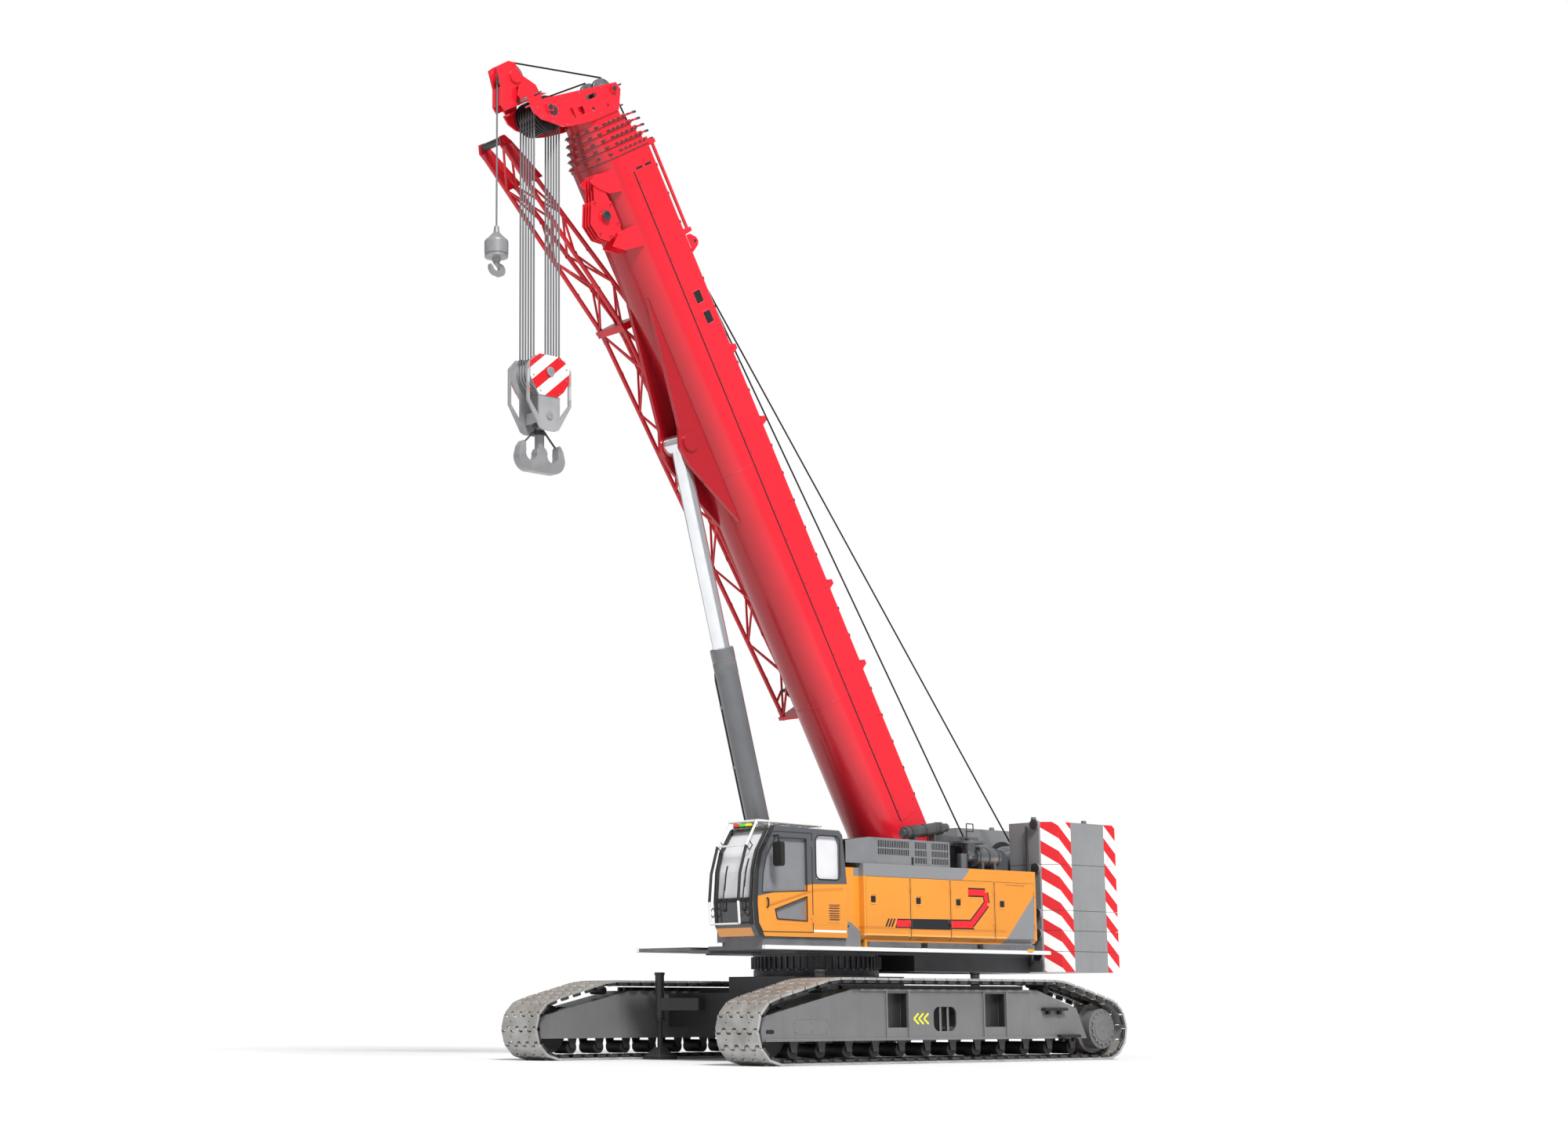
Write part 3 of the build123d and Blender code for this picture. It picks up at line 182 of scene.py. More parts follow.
def slab(outline, origin, uAxis, vAxis, low, high):
    # an outline in the plane of uAxis and vAxis, carried straight from low to high along their normal
    flat = np.asarray(outline, float)
    normal = np.cross(uAxis, vAxis)
    base = np.asarray(origin, float) + flat[:, :1] * uAxis + flat[:, 1:] * vAxis
    return gridShape(np.stack([base + low * normal, base + high * normal]), wrapColumns=True, capRows=True)


def carried(path, radius, sides=10, aspect=1.0):
    # a circle or ellipse carried along a path, kept square to the path's mean direction at each point
    path = np.asarray(path, float)
    steps = np.diff(path, axis=0)
    steps /= np.linalg.norm(steps, axis=1, keepdims=True)
    tangent = np.vstack([steps[:1], steps[:-1] + steps[1:], steps[-1:]])
    tangent /= np.linalg.norm(tangent, axis=1, keepdims=True)
    guide = upZ if abs(tangent[:, 2]).max() < 0.9 else np.array([0.35, 0.9, 0.25])
    u = np.cross(tangent, guide)
    u /= np.linalg.norm(u, axis=1, keepdims=True)
    v = np.cross(u, tangent)
    t = roundAngles(sides)[None, :, None]
    around = radius * (np.cos(t) * u[:, None] + aspect * np.sin(t) * v[:, None])
    return gridShape(path[:, None] + around, wrapColumns=True, capRows=True)


def turned(profile, origin, axis, segments=24):
    # a profile of (radius, height) turned about an axis, its first and last rings closed
    axis = np.asarray(axis, float) / np.linalg.norm(axis)
    u = np.cross(axis, upZ if abs(axis[2]) < 0.9 else acrossY)
    u /= np.linalg.norm(u)
    v = np.cross(axis, u)
    t = roundAngles(segments)[:, None]
    profile = np.asarray(profile, float)
    around = np.cos(t) * u + np.sin(t) * v
    points = np.asarray(origin, float) + profile[:, None, :1] * around + profile[:, None, 1:] * axis
    return gridShape(points, wrapColumns=True, capRows=True)


def ring(profile, origin, axis, segments=32):
    # a closed profile of (radius, height) turned about an axis, open in its middle
    points = turned(profile, origin, axis, segments)[0]
    return gridShape(points.reshape(len(profile), segments, 3), wrapRows=True, wrapColumns=True)


def spread(shape, origins, uAxes, vAxes):
    # the same shape at many places: its own x and y go to uAxes and vAxes
    origins, uAxes, vAxes = (np.atleast_2d(np.asarray(a, float)) for a in (origins, uAxes, vAxes))
    count = max(len(origins), len(uAxes), len(vAxes))
    origins, uAxes, vAxes = (np.broadcast_to(a, (count, 3)) for a in (origins, uAxes, vAxes))
    axes = np.stack([uAxes, vAxes, np.cross(uAxes, vAxes)], 1)
    points = np.einsum("pk,nkx->npx", shape[0], axes) + origins[:, None]
    starts = np.arange(count)[:, None] * len(shape[0])
    return points.reshape(-1, 3), (shape[1][None] + starts).reshape(-1), np.tile(shape[2], count)


def bluntBlock(half, chamfer):
    # block about its own centre, its long edges and its two ends bevelled: four rings of eight points
    hx, hy, hz = half
    outer = np.array([(hx, hy - chamfer), (hx - chamfer, hy), (chamfer - hx, hy), (-hx, hy - chamfer),
                      (-hx, chamfer - hy), (chamfer - hx, -hy), (hx - chamfer, -hy), (hx, chamfer - hy)])
    inset = outer * np.array([(hx - chamfer) / hx, (hy - chamfer) / hy])
    flats = [inset, outer, outer, inset]
    heights = [-hz, chamfer - hz, hz - chamfer, hz]
    rings = np.stack([np.column_stack([f, np.full(8, h)]) for f, h in zip(flats, heights)])
    return gridShape(rings, wrapColumns=True, capRows=True)


def boltHead(radius, height):
    # six-sided head, its upper edge rounded off
    t = np.arange(6) * np.pi / 3
    hexagon = np.column_stack([np.cos(t), np.sin(t)]) * radius
    levels = ((1.0, 0.0), (1.0, 0.7 * height), (0.82, height))
    rings = [np.column_stack([hexagon * k, np.full(6, h)]) for k, h in levels]
    return gridShape(np.stack(rings), wrapColumns=True, capRows=True)


pieceSettings = {"sharpDeg": 38, "bevelSegments": 2}


def newPiece(name, shape, finish, body, slot, smooth=False, bevel=0.0):
    # shape may be a list of shapes; finish is a key of paint
    points, loops, sizes = joined(shape) if isinstance(shape, list) else shape
    data = bpy.data.meshes.new(name)
    data.vertices.add(len(points))
    data.vertices.foreach_set("co", np.ascontiguousarray(points, np.float32).reshape(-1))
    data.loops.add(len(loops))
    data.loops.foreach_set("vertex_index", loops.astype(np.int32))
    data.polygons.add(len(sizes))
    data.polygons.foreach_set("loop_start", np.concatenate([[0], np.cumsum(sizes)[:-1]]).astype(np.int32))
    data.update(calc_edges=True)
    data.validate()
    work = bmesh.new()
    work.from_mesh(data)
    bmesh.ops.recalc_face_normals(work, faces=work.faces)
    work.to_mesh(data)
    work.free()
    data.polygons.foreach_set("use_smooth", np.full(len(data.polygons), smooth))
    if smooth:
        data.set_sharp_from_angle(angle=math.radians(pieceSettings["sharpDeg"]))
    data.materials.append(paint[finish])
    piece = bpy.data.objects.new(name, data)
    scene.collection.objects.link(piece)
    if bevel:
        edge = piece.modifiers.new("edges", "BEVEL")
        edge.width, edge.segments, edge.limit_method = bevel, pieceSettings["bevelSegments"], "ANGLE"
    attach(piece, body)
    return piece


floorSettings = {"halfSide": 260.0, "colour": "#F4F4F4", "rough": 0.9}
floorMaterial = bpy.data.materials.new("whitePaperFloor")  # matt white studio paper
floorMaterial.use_nodes = True
floorShader = floorMaterial.node_tree.nodes["Principled BSDF"]
floorShader.inputs["Base Color"].default_value = linear(floorSettings["colour"])
floorShader.inputs["Roughness"].default_value = floorSettings["rough"]
floorData = bpy.data.meshes.new("studioFloor")
floorCorners = [(sx * floorSettings["halfSide"], sy * floorSettings["halfSide"], 0.0)
                for sx, sy in ((-1, -1), (1, -1), (1, 1), (-1, 1))]
floorData.from_pydata(floorCorners, [], [(0, 1, 2, 3)])
floorData.materials.append(floorMaterial)
floor = bpy.data.objects.new("studioFloor", floorData)
scene.collection.objects.link(floor)


# materials: every pattern is laid out in Object coordinates, which are the row frame's metres


def spanned(start, end=(0.0, 1.0)):
    # settings of a map range: its result runs over end while its value runs over start
    return {"From Min": start[0], "From Max": start[1], "To Min": end[0], "To Max": end[1]}


def planeMask(tree, place, point, normal, soft=0.0015):
    # 0 behind a plane, 1 in front of it, with a border of twice soft
    normal = np.asarray(normal, float)
    reach = float(np.dot(point, normal))
    level = addNode(tree, "VectorMath", {"operation": "DOT_PRODUCT", 1: tuple(normal)}, {0: place})
    return addNode(tree, "MapRange", spanned((reach - soft, reach + soft)),
                   {"Value": level.outputs["Value"]}).outputs[0]


def folded(tree, operation, sockets):
    # MINIMUM keeps what lies in all the masks, MAXIMUM what lies in any of them
    result = sockets[0]
    for socket in sockets[1:]:
        result = addNode(tree, "Math", {"operation": operation}, {0: result, 1: socket}).outputs[0]
    return result


def zoneMask(tree, place, planes):
    # what lies in front of all the planes; each is a point and the normal that looks inwards
    return folded(tree, "MINIMUM", [planeMask(tree, place, point, normal) for point, normal in planes])


def areaMask(tree, place, outline, uAxis=foreX, vAxis=upZ, origin=(0.0, 0.0, 0.0)):
    # inside of a convex outline drawn in the plane of uAxis and vAxis
    outline = np.asarray(outline, float)
    corners = np.asarray(origin, float) + outline[:, :1] * uAxis + outline[:, 1:] * vAxis
    middle = corners.mean(0)
    masks = []
    for p, q in zip(corners, np.roll(corners, -1, axis=0)):
        normal = np.cross(np.cross(uAxis, vAxis), q - p)
        normal /= np.linalg.norm(normal)
        masks.append(planeMask(tree, place, p, normal if np.dot(middle - p, normal) > 0 else -normal))
    return folded(tree, "MINIMUM", masks)


def painted(tree, under, over, mask):
    # over is a colour or a socket
    node = addNode(tree, "Mix", {"data_type": "RGBA", "clamp_factor": True}, {0: mask, 6: under})
    if isinstance(over, list):
        node.inputs[7].default_value = over
    else:
        tree.links.new(over, node.inputs[7])
    return node.outputs[2]


surfaceDefaults = {
    "colour": "#808080",
    "worn": "#707070",  # what the colour drifts to, in patches
    "patchM": 1.1,  # size of the patches, metres
    "patchRange": (0.38, 0.66),  # of the noise, over which the colour drifts
    "streaks": 0.0,  # rain marks down the sides, 0 to 1
    "streakColour": "#4A4642",
    "streakStretch": (9.0, 9.0, 0.55),
    "streakRange": (0.55, 0.8),
    "dust": 0.0,  # what lies on faces that look up, 0 to 1
    "dustColour": "#9C938A",
    "dustRange": (0.35, 1.0),  # of the upward part of a face's normal
    "edges": 0.25,  # paler line over an edge: painted highlight, and where the coat thins
    "edgeColour": "#D8D4CF",
    "edgeM": 0.006,  # radius of the edge's round
    "edgeRange": (0.995, 0.90),  # cosine of the turn at which the line starts, and is full
    "rough": (0.34, 0.46),
    "roughRange": (0.3, 0.7),  # of the noise, over which the roughness drifts
    "metallic": 0.0,
    "ior": 1.5,
    "coat": 0.0,
    "coatRough": 0.12,
    "peelM": 0.004,  # spacing of the bumps
    "peel": 0.04,  # their strength
    "lit": 0.0,
}


def emptyMaterial(name):
    # a new material, its node tree, and the coordinates in metres that its patterns are laid out in
    material = bpy.data.materials.new(name)
    material.use_nodes = True
    tree = material.node_tree
    tree.nodes.clear()
    return material, tree, addNode(tree, "TexCoord").outputs["Object"]


def surfaceMaterial(name, settings, pattern=None):
    # patches, then painted pattern, streaks, dust and pale edges (painted highlight and thinned coat);
    # roughness drifts with the patches
    values = {**surfaceDefaults, **settings}
    material, tree, place = emptyMaterial(name)
    geometry = addNode(tree, "NewGeometry")
    patches = addNode(tree, "TexNoise", {"Scale": 1.0 / values["patchM"], "Detail": 4.0, "Roughness": 0.6},
                      {"Vector": place})
    drift = addNode(tree, "MapRange", spanned(values["patchRange"]),
                    {"Value": patches.outputs["Fac"]}).outputs[0]
    base = addNode(tree, "RGB")
    base.outputs[0].default_value = linear(values["colour"])
    colour = painted(tree, base.outputs[0], linear(values["worn"]), drift)
    if pattern:
        colour = pattern(tree, place, colour)
    soft = addNode(tree, "Bevel", {"samples": 4, "Radius": values["edgeM"]})
    if values["streaks"]:
        drawn = addNode(tree, "VectorMath",
                        {"operation": "MULTIPLY", 1: values["streakStretch"]}, {0: place})
        runs = addNode(tree, "TexNoise", {"Scale": 1.0, "Detail": 5.0}, {"Vector": drawn.outputs[0]})
        mask = addNode(tree, "MapRange", spanned(values["streakRange"], (0.0, values["streaks"])),
                       {"Value": runs.outputs["Fac"]})
        colour = painted(tree, colour, linear(values["streakColour"]), mask.outputs[0])
    if values["dust"]:
        upward = addNode(tree, "SeparateXYZ", links={0: geometry.outputs["Normal"]})
        lying = addNode(tree, "MapRange", spanned(values["dustRange"], (0.0, values["dust"])),
                        {"Value": upward.outputs["Z"]})
        uneven = addNode(tree, "Math", {"operation": "MULTIPLY"}, {0: lying.outputs[0], 1: drift})
        more = addNode(tree, "Math", {"operation": "MULTIPLY_ADD", 1: 0.5},
                       {0: lying.outputs[0], 2: uneven.outputs[0]})
        colour = painted(tree, colour, linear(values["dustColour"]), more.outputs[0])
    # pale line along edges: painted highlight, partly thinned coat
    if values["edges"]:
        turn = addNode(tree, "VectorMath", {"operation": "DOT_PRODUCT"},
                       {0: soft.outputs[0], 1: geometry.outputs["True Normal"]})
        rim = addNode(tree, "MapRange", spanned(values["edgeRange"], (0.0, values["edges"])),
                      {"Value": turn.outputs["Value"]})
        colour = painted(tree, colour, linear(values["edgeColour"]), rim.outputs[0])
    rough = addNode(tree, "MapRange", spanned(values["roughRange"], values["rough"]),
                    {"Value": patches.outputs["Fac"]})
    skin = addNode(tree, "TexNoise", {"Scale": 1.0 / values["peelM"], "Detail": 2.0}, {"Vector": place})
    bump = addNode(tree, "Bump", {"Strength": values["peel"], "Distance": values["peelM"] * 0.5},
                   {"Height": skin.outputs["Fac"], "Normal": soft.outputs[0]})
    shader = addNode(tree, "BsdfPrincipled",
                     {"Metallic": values["metallic"], "IOR": values["ior"], "Coat Weight": values["coat"],
                      "Coat Roughness": values["coatRough"]},
                     {"Base Color": colour, "Roughness": rough.outputs[0], "Normal": bump.outputs[0]})
    if values["lit"]:
        shader.inputs["Emission Strength"].default_value = values["lit"]
        tree.links.new(colour, shader.inputs["Emission Color"])
    addNode(tree, "OutputMaterial", links={0: shader.outputs[0]})
    return material


def glassMaterial(name, settings):
    # laminated pane: mirror and clear sheet mixed by the angle of view, with a pale diffuse film of dust and
    # painted reflection of the sky
    material, tree, place = emptyMaterial(name)
    film = addNode(tree, "TexNoise", {"Scale": 1.0 / settings["filmM"], "Detail": 3.0}, {"Vector": place})
    rough = addNode(tree, "MapRange", spanned((0.0, 1.0), settings["rough"]),
                    {"Value": film.outputs["Fac"]})
    tint = addNode(tree, "RGB")
    tint.outputs[0].default_value = linear(settings["colour"])
    shade = tint.outputs[0]
    film = addNode(tree, "MapRange", {"To Min": settings["dust"] * 0.8, "To Max": settings["dust"]},
                   {"Value": film.outputs["Fac"]}).outputs[0]
    for outline, colour, share in settings.get("areas", ()):
        mask = areaMask(tree, place, outline)
        shade = painted(tree, shade, linear(colour), mask)
        film = addNode(tree, "MapRange", {"To Max": share}, {"Value": mask, "To Min": film}).outputs[0]
    clear = addNode(tree, "BsdfTransparent", links={"Color": shade})
    mirror = addNode(tree, "BsdfGlossy", {"Color": linear("#FFFFFF")}, {"Roughness": rough.outputs[0]})
    angle = addNode(tree, "Fresnel", {"IOR": settings["ior"]})
    share = addNode(tree, "Math", {"operation": "MULTIPLY_ADD", 1: 0.9, 2: settings["mirror"]},
                    {0: angle.outputs[0]})
    pane = addNode(tree, "MixShader",
                   links={0: share.outputs[0], 1: clear.outputs[0], 2: mirror.outputs[0]})
    dustAndSkyFilm = addNode(tree, "BsdfDiffuse", {"Color": linear(settings["filmColour"])})
    whole = addNode(tree, "MixShader", links={0: film, 1: pane.outputs[0], 2: dustAndSkyFilm.outputs[0]})
    addNode(tree, "OutputMaterial", links={0: whole.outputs[0]})
    return material


def stripePattern(settings):
    # slanting bands of two colours, cut off by planes: band number = (z + slope * x) / period
    def paint(tree, place, under):
        slant = tuple(settings["slant"])
        level = addNode(tree, "VectorMath", {"operation": "DOT_PRODUCT", 1: slant}, {0: place})
        count = addNode(tree, "Math",
                        {"operation": "MULTIPLY_ADD", 1: 1.0 / settings["period"], 2: settings["offset"]},
                        {0: level.outputs["Value"]})
        saw = addNode(tree, "Math", {"operation": "FRACT"}, {0: count.outputs[0]})
        half, soft = 0.5, 0.004  # where the second colour starts, in bands, and half its border
        band = addNode(tree, "MapRange", spanned((half - soft, half + soft)), {"Value": saw.outputs[0]})
        pale = addNode(tree, "RGB")
        pale.outputs[0].default_value = linear(settings["colours"][0])
        bands = painted(tree, pale.outputs[0], linear(settings["colours"][1]), band.outputs[0])
        zones = [zoneMask(tree, place, planes) for planes in settings["zones"]]
        return painted(tree, under, bands, folded(tree, "MAXIMUM", zones))
    return paint


def areasPattern(areas, side=None):
    # painted areas, one over another: outline in x and z, and colour; side keeps them on one side
    def paint(tree, place, under):
        colour, limit = under, []
        if side:
            limit = [planeMask(tree, place, (0.0, side, 0.0), (0.0, math.copysign(1.0, side), 0.0))]
        for outline, shade in areas:
            mask = folded(tree, "MINIMUM", [areaMask(tree, place, outline)] + limit)
            colour = painted(tree, colour, linear(shade), mask)
        return colour
    return paint


def strokes(points, width):
    # a bent band as convex quads, each run widened to both sides
    points = np.asarray(points, float)
    quads = []
    for p, q in zip(points, points[1:]):
        run = (q - p) / np.linalg.norm(q - p)
        off = np.array([-run[1], run[0]]) * width / 2
        quads.append([p + off, q + off, q - off, p - off])
    return quads


# undercarriage: two coats of grey paint, sprayed on rolled plate
frameChevrons = {
    "colour": "#F2EE1C",
    "tips": (0.346, 0.236, 0.121),  # where each points forward, metres
    "reach": 0.105,  # back from its tip
    "rise": 0.080,  # above and below the middle line
    "height": 0.674,
    "width": 0.030,
}


def chevronAreas(s):
    areas = []
    for tip in s["tips"]:
        for way in (1, -1):
            line = [(tip, s["height"]), (tip - s["reach"], s["height"] + way * s["rise"])]
            areas += [(quad, s["colour"]) for quad in strokes(line, s["width"])]
    return areas


chevrons = chevronAreas(frameChevrons)
# painted shade between the track frames' side plates
frameInnerShade = {"outer": 2.84, "skin": 2.825, "inner": 2.275, "colour": "#29292A"}


def framePattern(side):
    # chevrons outside; what lies between the frame's side plates is painted dark: painted shade
    def paint(tree, place, under):
        s = frameInnerShade
        colour = areasPattern(chevrons, side * s["outer"])(tree, place, under)
        between = zoneMask(tree, place, [((0, side * s["skin"], 0), (0, -side, 0)),
                                         ((0, side * s["inner"], 0), (0, side, 0))])
        return painted(tree, colour, linear(s["colour"]), between)
    return paint


frameGrey = {"colour": "#747475", "worn": "#686869", "patchM": 1.6, "rough": (0.30, 0.42), "coat": 0.25,
             "streaks": 0.22, "streakColour": "#55524E", "dust": 0.30, "dustColour": "#8C857C"}
paint = {
    # satin grey over welded plate: patches and rain marks keep its wide flats from looking empty
    "frameLeft": surfaceMaterial("sprayedFrameGreyLeft", frameGrey, framePattern(1.0)),
    "frameRight": surfaceMaterial("sprayedFrameGreyRight", frameGrey, framePattern(-1.0)),
    "drive": surfaceMaterial("sprayedDriveGrey", frameGrey),
    # carbody and jack arms: the frames' grey, much darker, as painted shade under the machine
    "carbody": surfaceMaterial("sprayedCarbodyGrey", {
        **frameGrey, "colour": "#3F3F41", "worn": "#353537"}),
    # cast steel of wheels and rollers, dark, with pale rims: painted glints, partly rubbed steel
    "castRoller": surfaceMaterial("castRollerSteel", {
        "colour": "#2A2A2B", "worn": "#3B3936", "patchM": 0.16, "rough": (0.38, 0.62), "metallic": 0.35,
        "edges": 0.55, "edgeColour": "#8E8A86", "peelM": 0.006, "peel": 0.25}),
    # ground teeth and faces of the ring: bare machined steel with a film of grease; its pale edges are
    # painted glints
    "ring": surfaceMaterial("machinedRingSteel", {
        "colour": "#4A4B4D", "worn": "#37373A", "patchM": 0.22, "rough": (0.26, 0.42), "metallic": 0.6,
        "edges": 0.5, "edgeColour": "#B5B7BA"}),
    "jackFeet": surfaceMaterial("sprayedJackFeet", {
        "colour": "#2B2B2D", "worn": "#3A3A3C", "patchM": 0.4, "rough": (0.4, 0.55), "edges": 0.4,
        "dust": 0.25}),
    # base frame: darker satin grey
    "baseFrame": surfaceMaterial("sprayedBaseFrameGrey", {
        "colour": "#55575A", "worn": "#484A4D", "patchM": 0.9, "rough": (0.34, 0.46), "coat": 0.15,
        "streaks": 0.15, "dust": 0.2}),
    # a darker copy of the red for the jib's sleeves: painted shade
    "bracketRed": surfaceMaterial("sprayedBracketRed", {
        "colour": "#C21422", "worn": "#A90F1B", "patchM": 0.7, "rough": (0.26, 0.34), "coat": 0.5}),
}
deckSettings = {"edgeHigh": 1.7935, "edgeLow": 1.735, "edgeIn": 1.44, "white": "#F4F4F2"}


def deckPattern(tree, place, under):
    # the white rim: a band in height, out beyond the engine house
    s = deckSettings
    band = [planeMask(tree, place, (0, 0, s["edgeLow"]), (0, 0, 1)),
            planeMask(tree, place, (0, 0, s["edgeHigh"]), (0, 0, -1))]
    sides = [folded(tree, "MINIMUM", band + [planeMask(tree, place, (0, way * s["edgeIn"], 0), (0, way, 0))])
             for way in (1, -1)]
    return painted(tree, under, linear(s["white"]), folded(tree, "MAXIMUM", sides))


# deck: grey plate with a white rim; a fine chequer of bumps keeps feet from slipping
paint["deck"] = surfaceMaterial("chequeredDeckPlate", {
    "colour": "#707276", "worn": "#5E6064", "patchM": 0.5, "rough": (0.38, 0.52), "dust": 0.25,
    "peelM": 0.03, "peel": 0.35}, deckPattern)

# its pale edge lines are painted highlights
orangePaint = {"colour": "#EE9A34", "worn": "#E5912C", "patchM": 2.2, "rough": (0.20, 0.28), "coat": 0.8,
               "coatRough": 0.06, "edges": 0.35, "edgeColour": "#FFD08A", "peelM": 0.01, "peel": 0.02}
cabAreas = {
    "trim": "#55585C",
    "line": ((2.364, 2.536), (1.16, 2.755), (0.389, 2.779)),  # from the windscreen to the rear, x and z
    "door": ((-2.0, 1.0), (1.586, 1.0), (2.325, 2.13), (2.352, 2.455), (2.312, 2.925), (2.228, 3.212),
             (2.0, 3.555), (1.668, 4.055), (-2.0, 4.055)),  # what lies ahead of this is dark
    "pillar": "#2B2D30",
    "sill": (2.06, 1.40),  # z and y that bound the orange sill
    # painted shade along the crease under the side windows; the seam, a dark joint, shares its colour
    "crease": ((2.10, 2.40), (1.15, 2.655), (0.45, 2.70)),
    "creaseWidth": 0.050,
    "creaseColour": "#DD8A2C",
    "seam": ((2.01, 2.125), (0.44, 2.125)),
    "seamWidth": 0.010,
    "stripe": ((0.395, 2.011), (1.148, 2.011), (1.148, 2.047), (0.395, 2.047)),
    "stripeColour": "#F1F1EF",
    "side": 1.45,  # the marks lie outside this y
}


def cabPattern(tree, place, under):
    # grey above the waistline; the line bends once, and grey lies above either half of it
    s = cabAreas
    above = []
    for (x0, z0), (x1, z1) in zip(s["line"], s["line"][1:]):
        normal = np.array([z0 - z1, 0.0, x1 - x0]) * (1.0 if x1 > x0 else -1.0)
        above.append(planeMask(tree, place, (x0, 0.0, z0), normal / np.linalg.norm(normal)))
    side = planeMask(tree, place, (0, s["side"], 0), (0, 1, 0))
    colour = under
    # painted shade along the crease, then the seam in the same colour
    marks = [(quad, s["creaseColour"]) for quad in strokes(s["crease"], s["creaseWidth"])]
    marks += [(quad, s["creaseColour"]) for quad in strokes(s["seam"], s["seamWidth"])]
    marks.append((s["stripe"], s["stripeColour"]))
    for outline, shade in marks:
        mask = folded(tree, "MINIMUM", [areaMask(tree, place, outline), side])
        colour = painted(tree, colour, linear(shade), mask)
    colour = painted(tree, colour, linear(s["trim"]), folded(tree, "MAXIMUM", above))
    behind = areaMask(tree, place, s["door"])
    ahead = addNode(tree, "Math", {"operation": "SUBTRACT", 0: 1.0}, {1: behind}).outputs[0]
    high = folded(tree, "MAXIMUM", [planeMask(tree, place, (0, 0, s["sill"][0]), (0, 0, 1)),
                                    planeMask(tree, place, (0, s["sill"][1], 0), (0, 1, 0))])
    return painted(tree, colour, linear(s["pillar"]), folded(tree, "MINIMUM", [ahead, high]))


# cab and house: orange gloss paint under a clear coat, which gives long soft highlights
paint["cab"] = surfaceMaterial("glossCabPaint", orangePaint, cabPattern)

livery = {
    "red": "#FF1622",
    "black": "#14161A",
    "grey": "#8B8C8F",
    "band": [(-0.769, 2.133), (-0.769, 2.238), (-2.541, 2.259), (-2.645, 2.146)],
    "bandEdge": [(-0.735, 2.112), (-0.790, 2.262), (-2.535, 2.283), (-2.66, 2.122)],
    "plate": [(-1.089, 2.100), (-1.089, 2.259), (-2.072, 2.276), (-2.072, 2.105)],
    "slashes": (-0.499, -0.567, -0.635),
    "slashWidth": 0.040,
    "seams": (-1.110, -2.080, -3.179),
    "seamWidth": 0.016,
    "seam": "#3A2A18",
    "crease": (2.085, 0.045, "#D9862B"),  # painted shade just above the pressed line under the doors' middle: height, width, colour
    # painted highlight along the doors' foot, below that pressed line
    "foot": (1.985, 0.030, "#F7B45E"),
    "lineX": (-3.45, 0.02),  # where those two lines run, front to rear
    "hook": [(-2.57, 2.197), (-2.985, 2.560), (-2.950, 2.738), (-2.52, 2.736)],
    "hookWidths": (0.150, 0.098),  # of the black border, and of the red on it
    "slashZ": (2.127, 2.260),
    "slashLean": 0.076,
    "seamZ": (1.93, 2.93),
    "top": [(0.1, 2.925), (-2.06, 2.925), (-2.38, 2.929), (-2.56, 3.091), (-2.56, 3.2), (0.1, 3.2)],
    "rear": [(-4.6, 3.092), (-4.225, 3.092), (-4.209, 2.739), (-3.38, 1.885), (-3.38, 1.7), (-4.6, 1.7)],
    "side": 1.30,
}


def liveryAreas(s):
    # the red band runs back, up and round to a hook; the black one under it shows as its border
    areas, (x0, x1) = [], s["lineX"]
    # painted highlight along the doors' foot, painted shade above their pressed line
    for z, width, colour in (s["foot"], s["crease"]):
        areas.append(([(x0, z), (x1, z), (x1, z + width), (x0, z + width)], colour))
    for outline, width, colour in zip((s["bandEdge"], s["band"]), s["hookWidths"], (s["black"], s["red"])):
        areas.append((outline, colour))
        areas += [(quad, colour) for quad in strokes(s["hook"], width)]
    areas.append((s["plate"], s["black"]))
    (low, high), wide, lean = s["slashZ"], s["slashWidth"], s["slashLean"]
    for x in s["slashes"]:
        areas.append(([(x, low), (x - wide, low), (x - lean - wide, high), (x - lean, high)], s["black"]))
    (low, high), half = s["seamZ"], s["seamWidth"] / 2
    for x in s["seams"]:
        areas.append(([(x - half, low), (x + half, low), (x + half, high), (x - half, high)], s["seam"]))
    return areas + [(s["top"], s["grey"]), (s["rear"], s["grey"])]


houseInside = {"skin": 1.385, "front": -0.09, "colour": "#5B5C5F"}


def housePattern(tree, place, under):
    # livery outside; the walls' inner faces and the top behind the edge are grey
    s = houseInside
    colour = areasPattern(liveryAreas(livery), livery["side"])(tree, place, under)
    within = zoneMask(tree, place, [((0, s["skin"], 0), (0, -1, 0)), ((s["front"], 0, 0), (-1, 0, 0))])
    return painted(tree, colour, linear(s["colour"]), within)


paint["house"] = surfaceMaterial("glossHousePaint", orangePaint, housePattern)
# painted shade inside the hood's slots
hoodSlotShade = {"front": 0.36, "rear": -2.20, "high": 3.53, "skin": 1.4485, "inner": 0.5,
              "colour": "#101011"}


def hoodPattern(tree, place, under):
    # all that lies behind the hood's outer skin is painted black, painted shade, so its slots look deep
    s = hoodSlotShade
    within = zoneMask(tree, place, [((s["front"], 0, 0), (-1, 0, 0)), ((s["rear"], 0, 0), (1, 0, 0)),
                                    ((0, 0, s["high"]), (0, 0, -1)), ((0, s["skin"], 0), (0, -1, 0)),
                                    ((0, s["inner"], 0), (0, 1, 0))])
    return painted(tree, under, linear(s["colour"]), within)


hoodGrey = {"colour": "#848588", "worn": "#77787B", "patchM": 1.0, "rough": (0.32, 0.42), "coat": 0.25,
            "streaks": 0.12}
paint["hood"] = surfaceMaterial("sprayedHoodGrey", hoodGrey)
# louvres: grey paint, with painted shade behind the outer skin
paint["louvre"] = surfaceMaterial("sprayedLouvreGrey", hoodGrey, hoodPattern)

